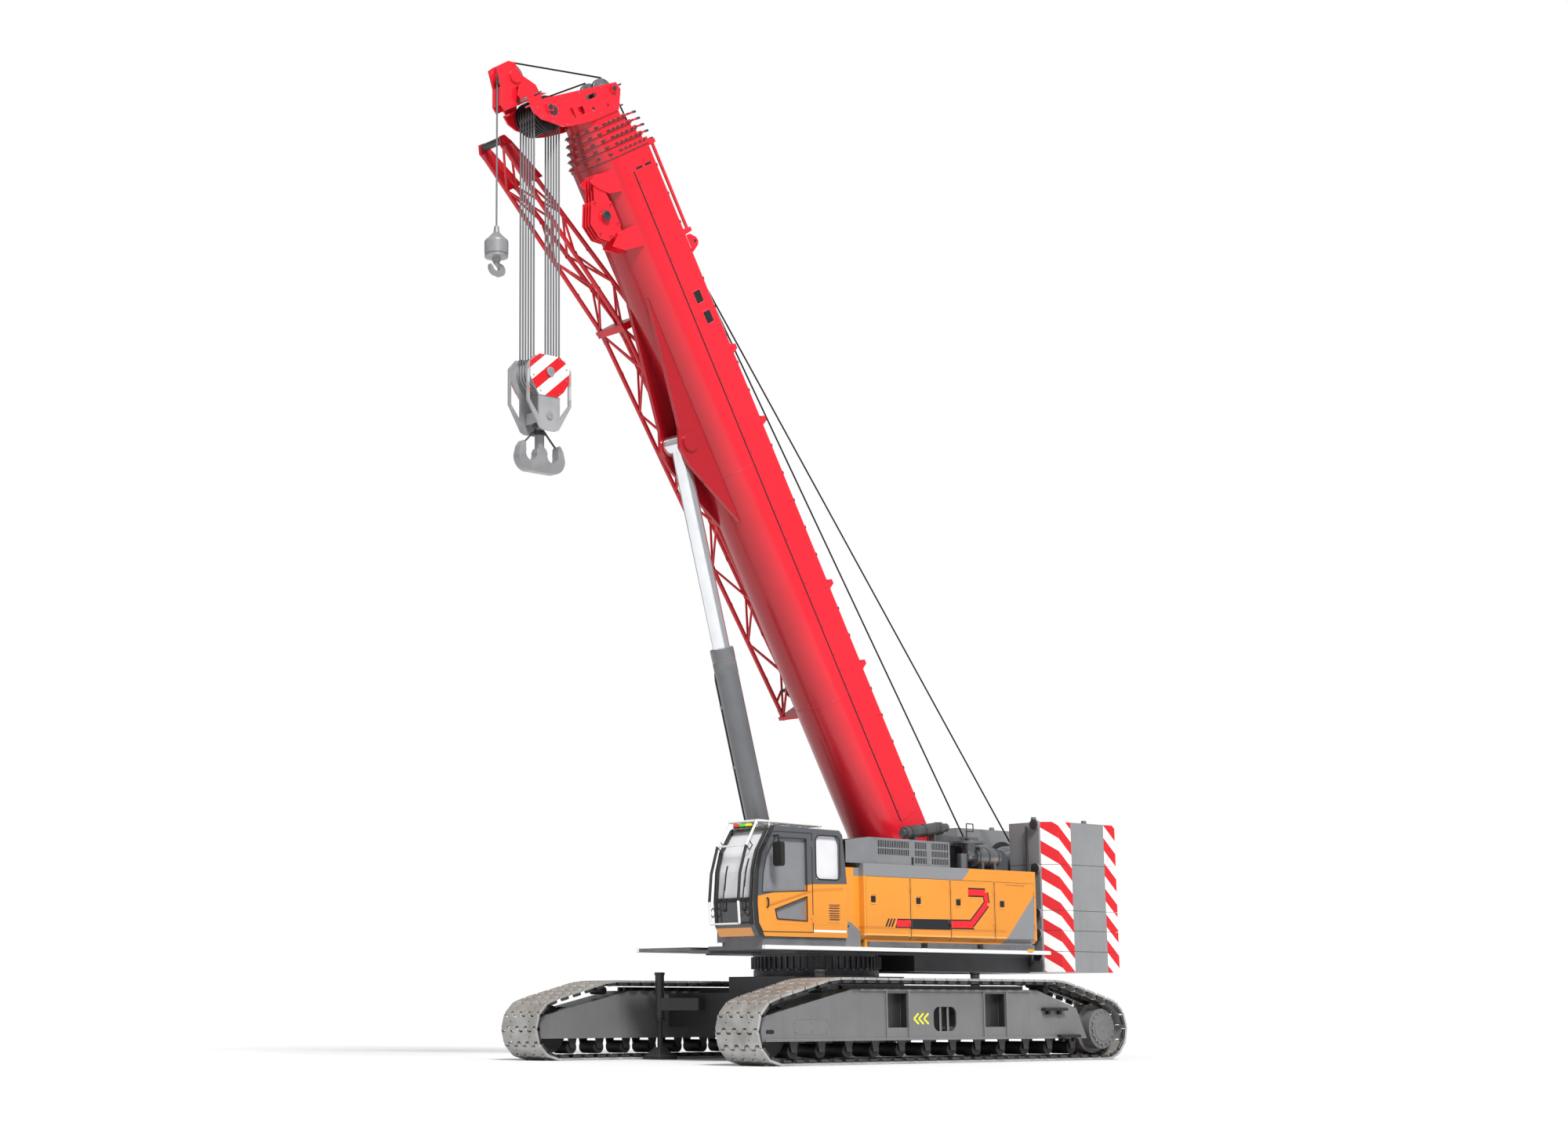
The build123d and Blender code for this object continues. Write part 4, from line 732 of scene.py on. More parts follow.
# each zone is what lies in front of its planes, a point and a normal each: here two zones a side
ballastZones = (((-5.237, 0, 0), (1, 0, 0)), ((-4.69, 0, 0), (-1, 0, 0))), (((-6.135, 0, 0), (-1, 0, 0)),)
ballastStripes = {
    "period": 0.445, "offset": 0.62, "slant": (-0.86, 0.0, 1.0), "colours": ("#F3F1EF", "#D9101D"),
    "zones": [[*zone, ((0, way * 1.2, 0), (0, way, 0))] for way in (1, -1) for zone in ballastZones],
}
# cast weights, filled and sprayed: faintly wavy faces under the stripes
paint["ballast"] = surfaceMaterial("sprayedCastBallast", {
    "colour": "#8E8F91", "worn": "#838486", "patchM": 1.2, "rough": (0.34, 0.46), "coat": 0.15,
    "streaks": 0.14, "peelM": 0.03, "peel": 0.06, "dust": 0.2}, stripePattern(ballastStripes))

# its pale pink edge lines are painted highlights
redPaint = {"colour": "#EC2033", "worn": "#E2182B", "patchM": 2.6, "rough": (0.26, 0.36), "coat": 0.25,
            "coatRough": 0.08, "edges": 0.30, "edgeColour": "#FF8A90", "peelM": 0.012, "peel": 0.02}
# painted shade on the boom's round belly
boomBellyShade = {"from": -0.74, "to": -1.16, "most": 0.72, "colour": "#8C0D18"}  # m from the foot pin's line


def bellyShadePattern(tree, place, under):
    # the round belly is painted darker: painted shade on the underside, which the sides don't get
    s = boomBellyShade
    level = addNode(tree, "VectorMath", {"operation": "DOT_PRODUCT", 1: tuple(boomBack)}, {0: place})
    base = float(np.dot(footPin, boomBack))
    share = addNode(tree, "MapRange", spanned((base + s["from"], base + s["to"]), (0.0, s["most"])),
                    {"Value": level.outputs["Value"]})
    return painted(tree, under, linear(s["colour"]), share.outputs[0])


# boom and lattice jib: red gloss paint, one coat per welded section
# the boom and its sections get painted shade on their belly
paint["boom"] = surfaceMaterial("glossBoomRed", redPaint, bellyShadePattern)
paint["section"] = surfaceMaterial("glossSectionRed", {
    **redPaint, "patchM": 0.8, "streaks": 0.10, "streakColour": "#7C0A12"}, bellyShadePattern)
paint["headRed"] = surfaceMaterial("glossHeadRed", {**redPaint, "patchM": 0.9})
# looks without a pattern: the material's name and its settings
plainLooks = {
    "cabTrim": ("mouldedCabPlastic", {
        "colour": "#2A2B2E", "worn": "#202124", "patchM": 0.3, "rough": (0.5, 0.7), "peelM": 0.003,
        "peel": 0.3, "edges": 0.15}),
    "muffler": ("bakedMufflerPaint", {
        "colour": "#5B5C5D", "worn": "#4C4A48", "patchM": 0.25, "rough": (0.35, 0.6), "metallic": 0.3,
        "edges": 0.3}),
    "engine": ("castEngineIron", {
        "colour": "#4A4B4D", "worn": "#3A3836", "patchM": 0.2, "rough": (0.5, 0.7), "peelM": 0.008,
        "peel": 0.3}),
    "cleaner": ("spunCleanerSteel", {
        "colour": "#8C8E91", "worn": "#76787B", "patchM": 0.35, "rough": (0.22, 0.36), "metallic": 0.75}),
    "jib": ("glossJibRed", {**redPaint, "colour": "#D81729", "worn": "#C41223", "patchM": 0.7}),
    # pale edges on the black sheaves: painted glints
    "sheave": ("mouldedSheaveBlack", {
        "colour": "#1D1E20", "worn": "#2C2C2E", "patchM": 0.12, "rough": (0.32, 0.5), "edges": 0.45,
        "edgeColour": "#77797C"}),
    "sheaveGrey": ("turnedSheaveSteel", {
        "colour": "#8D9092", "worn": "#74777A", "patchM": 0.12, "rough": (0.28, 0.42), "metallic": 0.45,
        "edges": 0.5}),
    "barrel": ("sprayedBarrelGrey", {
        "colour": "#6A6B6E", "worn": "#5F6063", "patchM": 0.9, "rough": (0.28, 0.36), "coat": 0.5,
        "streaks": 0.08}),
    # chromed rod: nearly a mirror, with the finest drawn rings along it
    "chrome": ("hardChromeRod", {
        "colour": "#F1F2F4", "worn": "#E4E6E9", "patchM": 0.5, "rough": (0.10, 0.18), "metallic": 0.85,
        "edges": 0.0, "peelM": 0.002, "peel": 0.02}),
    "forged": ("sprayedForgedHook", {
        "colour": "#A09FA1", "worn": "#8E8E90", "patchM": 0.25, "rough": (0.30, 0.45), "metallic": 0.3,
        "coat": 0.2}),
    "white": ("glossGuardWhite", {
        "colour": "#F2F2F0", "worn": "#E3E2DF", "patchM": 0.4, "rough": (0.22, 0.34), "coat": 0.5,
        "edges": 0.0}),
    "lamp": ("clearLampLens", {
        "colour": "#DADDE0", "worn": "#C8CCD0", "patchM": 0.05, "rough": (0.08, 0.2), "coat": 0.8}),
    "rubber": ("mouldedBlackRubber", {
        "colour": "#121214", "worn": "#1C1B1B", "patchM": 0.15, "rough": (0.55, 0.75), "peelM": 0.004,
        "peel": 0.3, "edges": 0.12}),
    # pale edges on dark steel: painted highlight and worn paint
    "dark": ("sprayedDarkSteel", {
        "colour": "#2A2A2C", "worn": "#39383A", "patchM": 0.3, "rough": (0.35, 0.5), "edges": 0.35,
        "edgeColour": "#8C8C8E"}),
    "zinc": ("platedBoltSteel", {
        "colour": "#9B9DA0", "worn": "#85878B", "patchM": 0.05, "rough": (0.28, 0.42), "metallic": 0.7,
        "edges": 0.4}),
}
for finish, (materialName, settings) in plainLooks.items():
    paint[finish] = surfaceMaterial(materialName, settings)


def ropeMaterial(name, settings):
    # stranded wire: a wave that climbs the rope gives the strands, as bump and as dark valleys, painted
    # shade between the strands
    material, tree, place = emptyMaterial(name)
    wave = addNode(tree, "TexWave",
                   {"bands_direction": "DIAGONAL", "Scale": 1.0 / settings["strandM"], "Distortion": 0.6,
                    "Detail": 1.0}, {"Vector": place})
    base = addNode(tree, "RGB")
    base.outputs[0].default_value = linear(settings["colour"])
    colour = painted(tree, base.outputs[0], linear(settings["valley"]), wave.outputs["Fac"])
    bump = addNode(tree, "Bump", {"Strength": 0.3, "Distance": 0.002}, {"Height": wave.outputs["Fac"]})
    grease = addNode(tree, "TexNoise", {"Scale": 7.0, "Detail": 3.0}, {"Vector": place})
    rough = addNode(tree, "MapRange", {"To Min": 0.3, "To Max": 0.6}, {"Value": grease.outputs["Fac"]})
    shader = addNode(tree, "BsdfPrincipled", {"Metallic": 0.55},
                     {"Base Color": colour, "Roughness": rough.outputs[0], "Normal": bump.outputs[0]})
    addNode(tree, "OutputMaterial", links={0: shader.outputs[0]})
    return material


# falls: zinc-grey wire; the two lines down to the winches are painted near black, painted shade, as they
# look black against the light
paint["rope"] = ropeMaterial("strandedWireRope", {
    "colour": "#8D8F92", "valley": "#6A6B6E", "strandM": 0.05})
paint["ropeDark"] = ropeMaterial("greasedWireRope", {
    "colour": "#2C2C2E", "valley": "#1A1A1C", "strandM": 0.05})
# laminated screens: a pale diffuse film on the inside, dust and a painted reflection of the sky, thicker on
# the screen than on the door
paint["windscreen"] = glassMaterial("laminatedWindscreen", {
    "colour": "#F4F6F8", "rough": (0.02, 0.09), "ior": 1.5, "mirror": 0.04, "dust": 0.78,
    "filmColour": "#FBFBFE", "filmM": 0.35,
    "areas": [([(1.7, 2.05), (2.6, 2.05), (2.6, 2.44), (1.7, 2.44)], "#5C6167", 0.10)]})
paint["doorGlass"] = glassMaterial("tintedDoorGlass", {
    "colour": "#C9CDD2", "rough": (0.02, 0.09), "ior": 1.5, "mirror": 0.06, "dust": 0.50,
    "filmColour": "#B4B5B9", "filmM": 0.3})

hookStripes = {
    "period": 0.33, "offset": 0.38, "slant": (0.64, 0.0, 0.77), "colours": ("#F3F1EF", "#D9101D"),
    "zones": [[((0, way * 0.2478, 0), (0, way, 0)), ((0, 0, 10.205), (0, 0, 1))] for way in (1, -1)],
}
paint["hookBlock"] = surfaceMaterial("sprayedHookBlock", {
    "colour": "#A3A3A5", "worn": "#949496", "patchM": 0.4, "rough": (0.30, 0.42), "coat": 0.2},
    stripePattern(hookStripes))

# which of the part's own nodes wear each finish
nodesOf = {
    "frameLeft": ("track_frame_left",),
    "frameRight": ("track_frame_right",),
    "carbody": ("carbody", "jack_arms"),
    "drive": ("final_drives",),
    "castRoller": ("idlers", "track_rollers"),
    "dark": ("track_left", "track_right", "winches"),
    "ring": ("slewing_ring",),
    "jackFeet": ("jack_feet",),
    "baseFrame": ("turntable_frame",),
    "headRed": ("spare_block_brackets", "boom_head", "aux_bracket", "spare_sheave_block"),
    "deck": ("deck_plates",),
    "cab": ("cab_shell", "cab_door"),
    "cabTrim": ("cab_interior",),
    "rubber": ("mirror",),
    "muffler": ("muffler",),
    "house": ("engine_house", "engine_door_1", "engine_door_2", "engine_door_3", "engine_door_4"),
    "louvre": ("louvre_hood",),
    "hood": ("right_house",),
    "cleaner": ("air_cleaner",),
    "engine": ("engine_block",),
    "ballast": ("counterweight",),
    "boom": ("boom_base",),
    "section": ("boom_section_2", "boom_section_3", "boom_section_4", "boom_section_5",
                "boom_section_6"),
    "jib": ("jib_lower", "jib_upper", "jib_brackets"),
    "sheave": ("head_sheaves",),
    "sheaveGrey": ("aux_sheave",),
    "barrel": ("cylinder_barrel",),
    "chrome": ("cylinder_rod",),
    "rope": ("main_falls", "aux_fall"),
    "ropeDark": ("head_lines", "aux_rope_leg", "main_rope_leg"),
    "hookBlock": ("hook_block",),
    "forged": ("ramshorn_hook", "ball_hook"),
    "windscreen": ("cab_glass",),
    "doorGlass": ("door_glass",),
    "white": ("cab_guards",),
    "lamp": ("lamps",),
}
finishOf = {nodeName: finish for finish, nodeNames in nodesOf.items() for nodeName in nodeNames}
for nodeName, node in frame["nodes"].items():
    node.data.materials.clear()
    node.data.materials.append(paint[finishOf[nodeName]])
print("materials ready:", len(paint))

upper = "upperstructure"  # the body of all that slews but doesn't luff

# small shapes that the pieces below share


def rowOf(x, y, z):
    # points whose coordinates are single numbers or whole rows of them
    return np.column_stack([a.reshape(-1) for a in np.broadcast_arrays(x, y, z)]).astype(float)


def sidePlate(outline, y0, y1):
    # outline in x and z, from y0 to y1
    return slab(outline, (0, 0, 0), foreX, upZ, -y1, -y0)


def boomPlate(outline, y0, y1):
    # outline in metres along the boom and towards its back, from y0 to y1
    return slab(outline, footPin, boomAlong, boomBack, -y1, -y0)


def letInto(face, way, sink, rise):
    # y range of a thin plate that is let into a side face and stands a little proud of it
    return sorted((way * (face - sink), way * (face + rise)))


def blocksAt(centres, half, chamfer=0.006, u=foreX, v=acrossY):
    return spread(bluntBlock(half, chamfer), centres, u, v)


def boltsAt(centres, size, u, v):
    # heads of size (radius, height) that look along u x v
    return spread(boltHead(*size), centres, u, v)


def bead(outline, radius, origin=(0, 0, 0), u=foreX, v=upZ, sides=6):
    # a closed bead along an outline in the plane of u and v: a circle carried round it
    flat = np.asarray(outline, float)
    line = np.asarray(origin, float) + flat[:, :1] * u + flat[:, 1:] * v
    step = np.roll(line, -1, axis=0) - line
    step /= np.linalg.norm(step, axis=1, keepdims=True)
    tangent = step + np.roll(step, 1, axis=0)
    tangent /= np.linalg.norm(tangent, axis=1, keepdims=True)
    normal = np.cross(u, v)
    out = np.cross(tangent, normal)
    t = roundAngles(sides) + np.pi / sides
    ring = radius * (np.cos(t)[None, :, None] * out[:, None] + np.sin(t)[None, :, None] * normal)
    return gridShape(line[:, None] + ring, wrapRows=True, wrapColumns=True)


def roundedBox(x0, x1, z0, z1, radius, steps=4):
    # outline of a rectangle with rounded corners
    t = np.linspace(0, np.pi / 2, steps)
    parts = []
    for cx, cz, turn in ((x1 - radius, z1 - radius, 0), (x0 + radius, z1 - radius, 1),
                         (x0 + radius, z0 + radius, 2), (x1 - radius, z0 + radius, 3)):
        a = t + turn * np.pi / 2
        parts.append(np.column_stack([cx + radius * np.cos(a), cz + radius * np.sin(a)]))
    return np.concatenate(parts)


def boxRound(x, z, half, radius):
    return roundedBox(x - half, x + half, z - half, z + half, radius)


def rodBetween(p, q, radius, sides=8):
    return carried([p, q], radius, sides)


faceLeft = {"u": upZ, "v": foreX}
faceRight = {"u": foreX, "v": upZ}
faceUp = {"u": foreX, "v": acrossY}
craneSides = (("Left", 1.0, faceLeft), ("Right", -1.0, faceRight))

# crawler tracks: plates with toothed edges, laid round the same loop as the solids

shoeSettings = {
    "count": 70,
    "wheels": ((-3.755, 0.500, 0.500), (3.755, 0.500, 0.500),  # x from the slewing axis, z, radius
               (-2.56, 0.67, 0.62), (2.56, 0.67, 0.62)),
    "loopSteps": 2881,
    "trackY": 2.55,
    "halfWidth": 0.447,
    "thick": 0.036,
    "top": -0.002,
    "gap": 0.030,
    "slope": 0.010,  # how far the long edges lean in over the thickness
    "lug": 0.032,  # the edge swings this far to each side
    "lugEvery": 0.22,
    "lugHalves": 4,  # half waves to each side of the middle
    "lugFlank": 0.075,  # share of the spacing that a tooth's flank takes
    "lugSteep": 2.2,  # a sine this steep, cut off at 1, has flat teeth
    "sink": 0.004,  # what lies under a plate reaches this far into it
    "links": {"half": (0.112, 0.030, 0.030), "chamfer": 0.012, "y": 0.095},
    "curls": {"half": (0.078, 0.024, 0.026), "chamfer": 0.010, "y": 0.420},  # a shoe's thick ends
    "bolts": {"profile": ((0.013, -0.003), (0.013, 0.0015), (0.001, 0.0015)), "y": 0.24},
}
# shoes: cast steel, grey where the ground rubs, brown dust on what looks up, and pale painted highlights
# along the edges
paint["shoe"] = surfaceMaterial("castTrackShoe", {
    "colour": "#B4B3B1", "worn": "#96948F", "patchM": 0.35, "rough": (0.34, 0.50), "metallic": 0.30,
    "edges": 0.7, "edgeColour": "#E4E3E0", "edgeM": 0.010, "dust": 0.55, "dustColour": "#9A8674",
    "peelM": 0.02, "peel": 0.12})


def loopPlaces(s):
    # a string pulled tight round the circles: in each direction, the point that reaches farthest
    angle = np.linspace(0.0, 2 * np.pi, s["loopSteps"])
    way = np.column_stack([np.cos(angle), np.sin(angle)])
    circles = np.array(s["wheels"])
    reach = way @ circles[:, :2].T + circles[:, 2]
    best = circles[reach.argmax(axis=1)]
    line = best[:, :2] + best[:, 2:] * way
    length = np.concatenate([[0.0], np.cumsum(np.linalg.norm(np.diff(line, axis=0), axis=1))])
    at = np.linspace(0.0, length[-1], s["count"] + 1)
    ends = np.column_stack([np.interp(at, length, line[:, 0]), np.interp(at, length, line[:, 1])])
    run = np.diff(ends, axis=0)
    pitch = np.linalg.norm(run, axis=1)
    run = run / pitch[:, None]
    middle = (ends[1:] + ends[:-1]) / 2
    return rowOf(middle[:, 0] + slewX, 0.0, middle[:, 1]), rowOf(run[:, 0], 0.0, run[:, 1]), pitch.min()


def shoeShape(s, pitch):
    # the plate's section carried across the track; both long edges swing by lug * clipped sine
    half = pitch / 2 - s["gap"] / 2
    k = np.arange(-s["lugHalves"], s["lugHalves"] + 1) * s["lugEvery"] / 2
    flank = s["lugFlank"] * s["lugEvery"]
    across = np.clip(np.sort(np.concatenate([k - flank, k + flank])), -s["halfWidth"], s["halfWidth"])
    swing = s["lug"] * np.clip(s["lugSteep"] * np.sin(2 * np.pi * across / s["lugEvery"]), -1.0, 1.0)
    section = np.array([(-half, -s["thick"]), (-half + s["slope"], s["top"]),
                        (half - s["slope"], s["top"]), (half, -s["thick"])])
    points = np.empty((len(across), len(section), 3))
    points[..., 0] = section[None, :, 0] + swing[:, None]
    points[..., 1] = across[:, None]
    points[..., 2] = section[None, :, 1]
    return gridShape(points, wrapColumns=True, capRows=True)


def layTrack(s, name, way):
    # one track: its shoes, and in two rows under them their thick ends, the links and the bolts
    places, runs, pitch = loopPlaces(s)
    places = places + acrossY * way * s["trackY"]
    outward = np.cross(runs, -acrossY)
    shoes = newPiece("trackShoes" + name, spread(shoeShape(s, pitch), places, runs, -acrossY), "shoe",
                     "undercarriage", "track_steel")
    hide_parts("track_" + name.lower())
    rows = []
    for title, finish in (("curls", "dark"), ("links", "castRoller")):
        half = s[title]["half"]
        block = bluntBlock(half, s[title]["chamfer"])
        rows.append((title, block, -s["thick"] - half[2] + s["sink"], finish))
    rows.append(("bolts", turned(s["bolts"]["profile"], (0, 0, 0), upZ, 8), s["top"], "dark"))
    pieceNames = {"curls": "shoeCurls", "links": "trackLinks", "bolts": "shoeBolts"}
    for title, shape, depth, finish in rows:
        both = [spread(shape, places + outward * depth + acrossY * y, runs, -acrossY)
                for y in (-s[title]["y"], s[title]["y"])]
        newPiece(pieceNames[title] + name, both, finish, "undercarriage", "track_steel")


for sideName, sideWay, _ in craneSides:
    layTrack(shoeSettings, sideName, sideWay)
print("track shoes laid:", 2 * shoeSettings["count"])

# track frames and carbody

frameTrim = {
    "face": 2.85,
    "hatch": (2.19, 2.945, 0.455, 0.675),  # x and z of the cover behind the idler
    "hatchRound": 0.05, "bead": 0.006, "hatchBolt": (0.016, 0.010), "hatchBoltsIn": (0.05, 0.04),
    "slot": (3.345, 3.515, 0.462, 0.523), "slotRound": 0.028,
    "flangeX": (-3.4, 3.3), "flangeBolts": 30, "flangeY": 2.875, "flangeZ": 0.367,
    "flangeBolt": (0.013, 0.009),
}
padSettings = {
    "places": ((-2.94, 0.815, 0.56), (-3.28, 0.385, 0.50)),  # x, z and width of the foot pads
    "y": 2.905, "depth": 0.055, "thick": 0.022, "round": 0.008,
    "legX": 0.14, "legY": 2.88, "legDown": 0.05, "leg": (0.03, 0.035, 0.035),
    "ribs": 9, "ribsIn": 0.04, "ribUp": 0.024, "rib": (0.012, 0.05, 0.006), "ribRound": 0.003,
}
frameSlot = {"body": "undercarriage", "slot": "undercarriage_grey"}


def trackFrameTrim(s, name, way, look):
    # the cover's bead and bolts, a row of bolts along the lower flange, a dark slot
    x0, x1, z0, z1 = s["hatch"]
    dx, dz = s["hatchBoltsIn"]
    rim = bead(roundedBox(x0, x1, z0, z1, s["hatchRound"]), s["bead"], (0, way * s["face"], 0))
    newPiece("hatchBead" + name, rim, "frame" + name, **frameSlot)
    x, z = np.meshgrid([x0 + dx, (x0 + x1) / 2, x1 - dx], [z0 + dz, z1 - dz])
    flange = rowOf(np.linspace(*s["flangeX"], s["flangeBolts"]), way * s["flangeY"], s["flangeZ"])
    newPiece("frameBolts" + name, [boltsAt(rowOf(x, way * s["face"], z), s["hatchBolt"], **look),
                                   boltsAt(flange, s["flangeBolt"], **look)], "zinc", **frameSlot)
    slot = sidePlate(roundedBox(*s["slot"], s["slotRound"]), *letInto(s["face"], way, 0.004, 0.002))
    newPiece("frameSlot" + name, slot, "rubber", **frameSlot)


def footPads(s, name, way):
    # each pad: a plate on two legs, with ribs across its top
    pads = []
    for x, z, width in s["places"]:
        legs = [(x + dx, way * s["legY"], z - s["legDown"]) for dx in (-s["legX"], s["legX"])]
        ribs = np.linspace(x - width / 2 + s["ribsIn"], x + width / 2 - s["ribsIn"], s["ribs"])
        pads += [blocksAt([(x, way * s["y"], z)], (width / 2, s["depth"], s["thick"]), s["round"]),
                 blocksAt(legs, s["leg"], s["round"]),
                 blocksAt(rowOf(ribs, way * s["y"], z + s["ribUp"]), s["rib"], s["ribRound"])]
    newPiece("footPads" + name, pads, "rubber", **frameSlot)


for sideName, sideWay, sideLook in craneSides:
    trackFrameTrim(frameTrim, sideName, sideWay, sideLook)
    footPads(padSettings, sideName, sideWay)

capSettings = {"x": -3.755, "z": 0.5, "ring": 0.265, "bolts": 16, "bolt": (0.017, 0.012), "segments": 32,
               "profile": ((0.205, -0.002), (0.205, 0.006), (0.190, 0.012), (0.05, 0.014), (0.045, 0.02),
                           (0.004, 0.021))}


def driveCap(s, name, way, look):
    # a ring of bolts round a raised disc on the drive's outer face
    low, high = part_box("final_drives")
    face = high.y if way > 0 else low.y
    t = roundAngles(s["bolts"])
    around = rowOf(slewX + s["x"] + s["ring"] * np.cos(t), face, s["z"] + s["ring"] * np.sin(t))
    newPiece("driveBolts" + name, boltsAt(around, s["bolt"], **look), "zinc", **frameSlot)
    disc = turned(s["profile"], (slewX + s["x"], face, s["z"]), (0, way, 0), s["segments"])
    newPiece("driveCap" + name, disc, "frame" + name, smooth=True, **frameSlot)


for sideName, sideWay, sideLook in craneSides:
    driveCap(capSettings, sideName, sideWay, sideLook)

ringSettings = {"bolts": 40, "radius": 1.005, "z": 1.440, "bolt": (0.020, 0.022)}


def ringBolts(s):
    t = roundAngles(s["bolts"])
    around = rowOf(slewX + s["radius"] * np.cos(t), s["radius"] * np.sin(t), s["z"])
    return boltsAt(around, s["bolt"], **faceUp)


newPiece("ringBolts", ringBolts(ringSettings), "zinc", "undercarriage", "ring_steel")

jackSettings = {"x": 1.8, "y": 1.86, "high": (1.405, 0.66), "segments": 20,
                "profile": ((0.079, -0.03), (0.087, -0.022), (0.087, 0.006), (0.079, 0.012))}


def jackCollars(s):
    return [turned(s["profile"], (slewX + sx * s["x"], sy * s["y"], z), upZ, s["segments"])
            for sx in (1, -1) for sy in (1, -1) for z in s["high"]]


newPiece("jackCollars", jackCollars(jackSettings), "dark", smooth=True, **frameSlot)
print("undercarriage trimmed")

# deck: white teeth along the rim, rubber blocks and bolts on its sills, one lamp a side

deckTrim = {
    "edgeY": 1.5, "z": 1.79, "from": -4.55, "to": 2.17, "pitch": 0.052,
    "tooth": (0.014, 0.010, 0.006), "toothRound": 0.003, "toothIn": 0.012, "toothUp": 0.003,
    "gaps": (-1.42, -2.78), "rubberX": 0.045, "rubberAt": (1.462, 1.838), "rubber": (0.030, 0.034, 0.047),
    "rubberRound": 0.008,
    "lampAt": (-4.06, 1.505, 1.795), "lamp": (0.075, 0.012, 0.024),
    "sillX": (-4.35, 2.07), "sillBolts": 26, "sillAt": (1.445, 1.85), "sillEnd": -1.0,
    "sillBolt": (0.010, 0.058),
}
# amber lens: moulded acrylic, lit a little so that it reads at a distance
paint["amber"] = surfaceMaterial("mouldedAmberLens", {
    "colour": "#FFA400", "worn": "#FF8A00", "patchM": 0.06, "rough": (0.1, 0.2), "coat": 0.6, "lit": 0.25})


def deckEdge(s):
    x = np.arange(s["from"], s["to"], s["pitch"])
    teeth = [rowOf(x, way * (s["edgeY"] - s["toothIn"]), s["z"] + s["toothUp"]) for way in (1, -1)]
    newPiece("deckTeeth", blocksAt(np.concatenate(teeth), s["tooth"], s["toothRound"]), "white",
             upper, "deck_steel")
    y, z = s["rubberAt"]
    blocks = [(gap + dx, way * y, z) for gap in s["gaps"] for way in (1, -1)
              for dx in (-s["rubberX"], s["rubberX"])]
    newPiece("sillRubbers", blocksAt(blocks, s["rubber"], s["rubberRound"]), "rubber", upper,
             "deck_steel")
    x, y, z = s["lampAt"]
    lamps = blocksAt([(x, y, z), (x, -y, z)], s["lamp"])
    newPiece("sideLamps", lamps, "amber", upper, "lamp")
    x = np.linspace(*s["sillX"], s["sillBolts"])
    y, z = s["sillAt"]
    bolts = [boltsAt(rowOf(x[x < s["sillEnd"]], way * y, z), s["sillBolt"], **look)
             for _, way, look in craneSides]
    newPiece("sillBolts", bolts, "zinc", upper, "deck_steel")


deckEdge(deckTrim)

# engine house: pads and rims of the doors' handle pockets, hood bolts, latch, bracket behind the cab

houseTrim = {"pocketIn": 0.16, "z": 2.562, "face": 1.4995, "pad": 0.052, "padRound": 0.012,
             "padThick": 0.004, "rim": 0.078, "rimRound": 0.03, "rimBead": 0.009, "rimAt": 1.499}


def handlePocket(s, index):
    door = f"engine_door_{index}"
    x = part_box(door)[1].x - s["pocketIn"]
    pad = sidePlate(boxRound(x, s["z"], s["pad"], s["padRound"]), s["face"], s["face"] + s["padThick"])
    newPiece(f"handlePad{index}", pad, "rubber", door, "cab_trim")
    rim = bead(boxRound(x, s["z"], s["rim"], s["rimRound"]), s["rimBead"], (0, s["rimAt"], 0))
    newPiece(f"handleRim{index}", rim, "house", door, "house_orange", smooth=True)


for doorIndex in range(1, 5):
    handlePocket(houseTrim, doorIndex)

hoodTrim = {"y": 1.450, "x": (0.28, -0.36, -1.20, -1.62, -2.08), "z": (3.17, 3.545), "bolt": (0.011, 0.008),
            "latch": (-1.245, -1.215, 3.15, 3.27), "latchRound": 0.012, "latchY": (1.448, 1.468),
            "bracket": ((0.376, 1.792), (0.376, 2.185), (0.238, 2.190), (0.011, 2.044), (0.011, 1.792)),
            "bracketY": (1.415, 1.445), "bracketBevel": 0.006, "bracketBolt": (0.30, 1.445, 2.12),
            "bracketBoltSize": (0.02, 0.012)}


def hoodDetails(s):
    heads = np.array([(x, s["y"], z) for x in s["x"] for z in s["z"]])
    newPiece("hoodBolts", boltsAt(heads, s["bolt"], **faceLeft), "zinc", upper, "hood_grey")
    latch = sidePlate(roundedBox(*s["latch"], s["latchRound"]), *s["latchY"])
    newPiece("hoodLatch", latch, "rubber", upper, "cab_trim")
    newPiece("cabRearBracket", sidePlate(s["bracket"], *s["bracketY"]), "hood", upper,
             "deck_steel", bevel=s["bracketBevel"])
    newPiece("bracketBolt", boltsAt([s["bracketBolt"]], s["bracketBoltSize"], **faceLeft), "dark",
             upper, "cab_trim")


hoodDetails(hoodTrim)

postSettings = {"x": -3.27, "y": 0.92, "half": 0.085, "loopZ": (3.81, 3.94), "loopRound": 0.012,
                "loopBead": 0.010, "rodZ": (3.30, 3.84), "rod": 0.012,
                "eyes": ((0.0, 3.68), (0.03, 3.60)), "eye": (0.028, 0.028, 0.02)}


def cameraPost(s):
    # a square loop on a thin rod, with two camera housings under it
    x = s["x"] + s["half"]
    loop = roundedBox(s["x"] - s["half"], x, *s["loopZ"], s["loopRound"])
    return [bead(loop, s["loopBead"], (0, s["y"], 0)),
            rodBetween(*[(x, s["y"], z) for z in s["rodZ"]], s["rod"]),
            blocksAt([(x + dx, s["y"], z) for dx, z in s["eyes"]], s["eye"])]


newPiece("cameraPost", cameraPost(postSettings), "dark", upper, "hood_grey")

# straps: ends of the axis, radius, and where along it they sit
strapSettings = {
    "muffler": ((-1.230, 0.9, 3.715), (-2.130, 0.9, 3.835), 0.105, (0.12, 0.5, 0.88)),
    "cleaner": ((-2.610, 1.15, 3.360), (-3.169, 1.15, 3.360), 0.170, (0.08, 0.5, 0.93)),
}


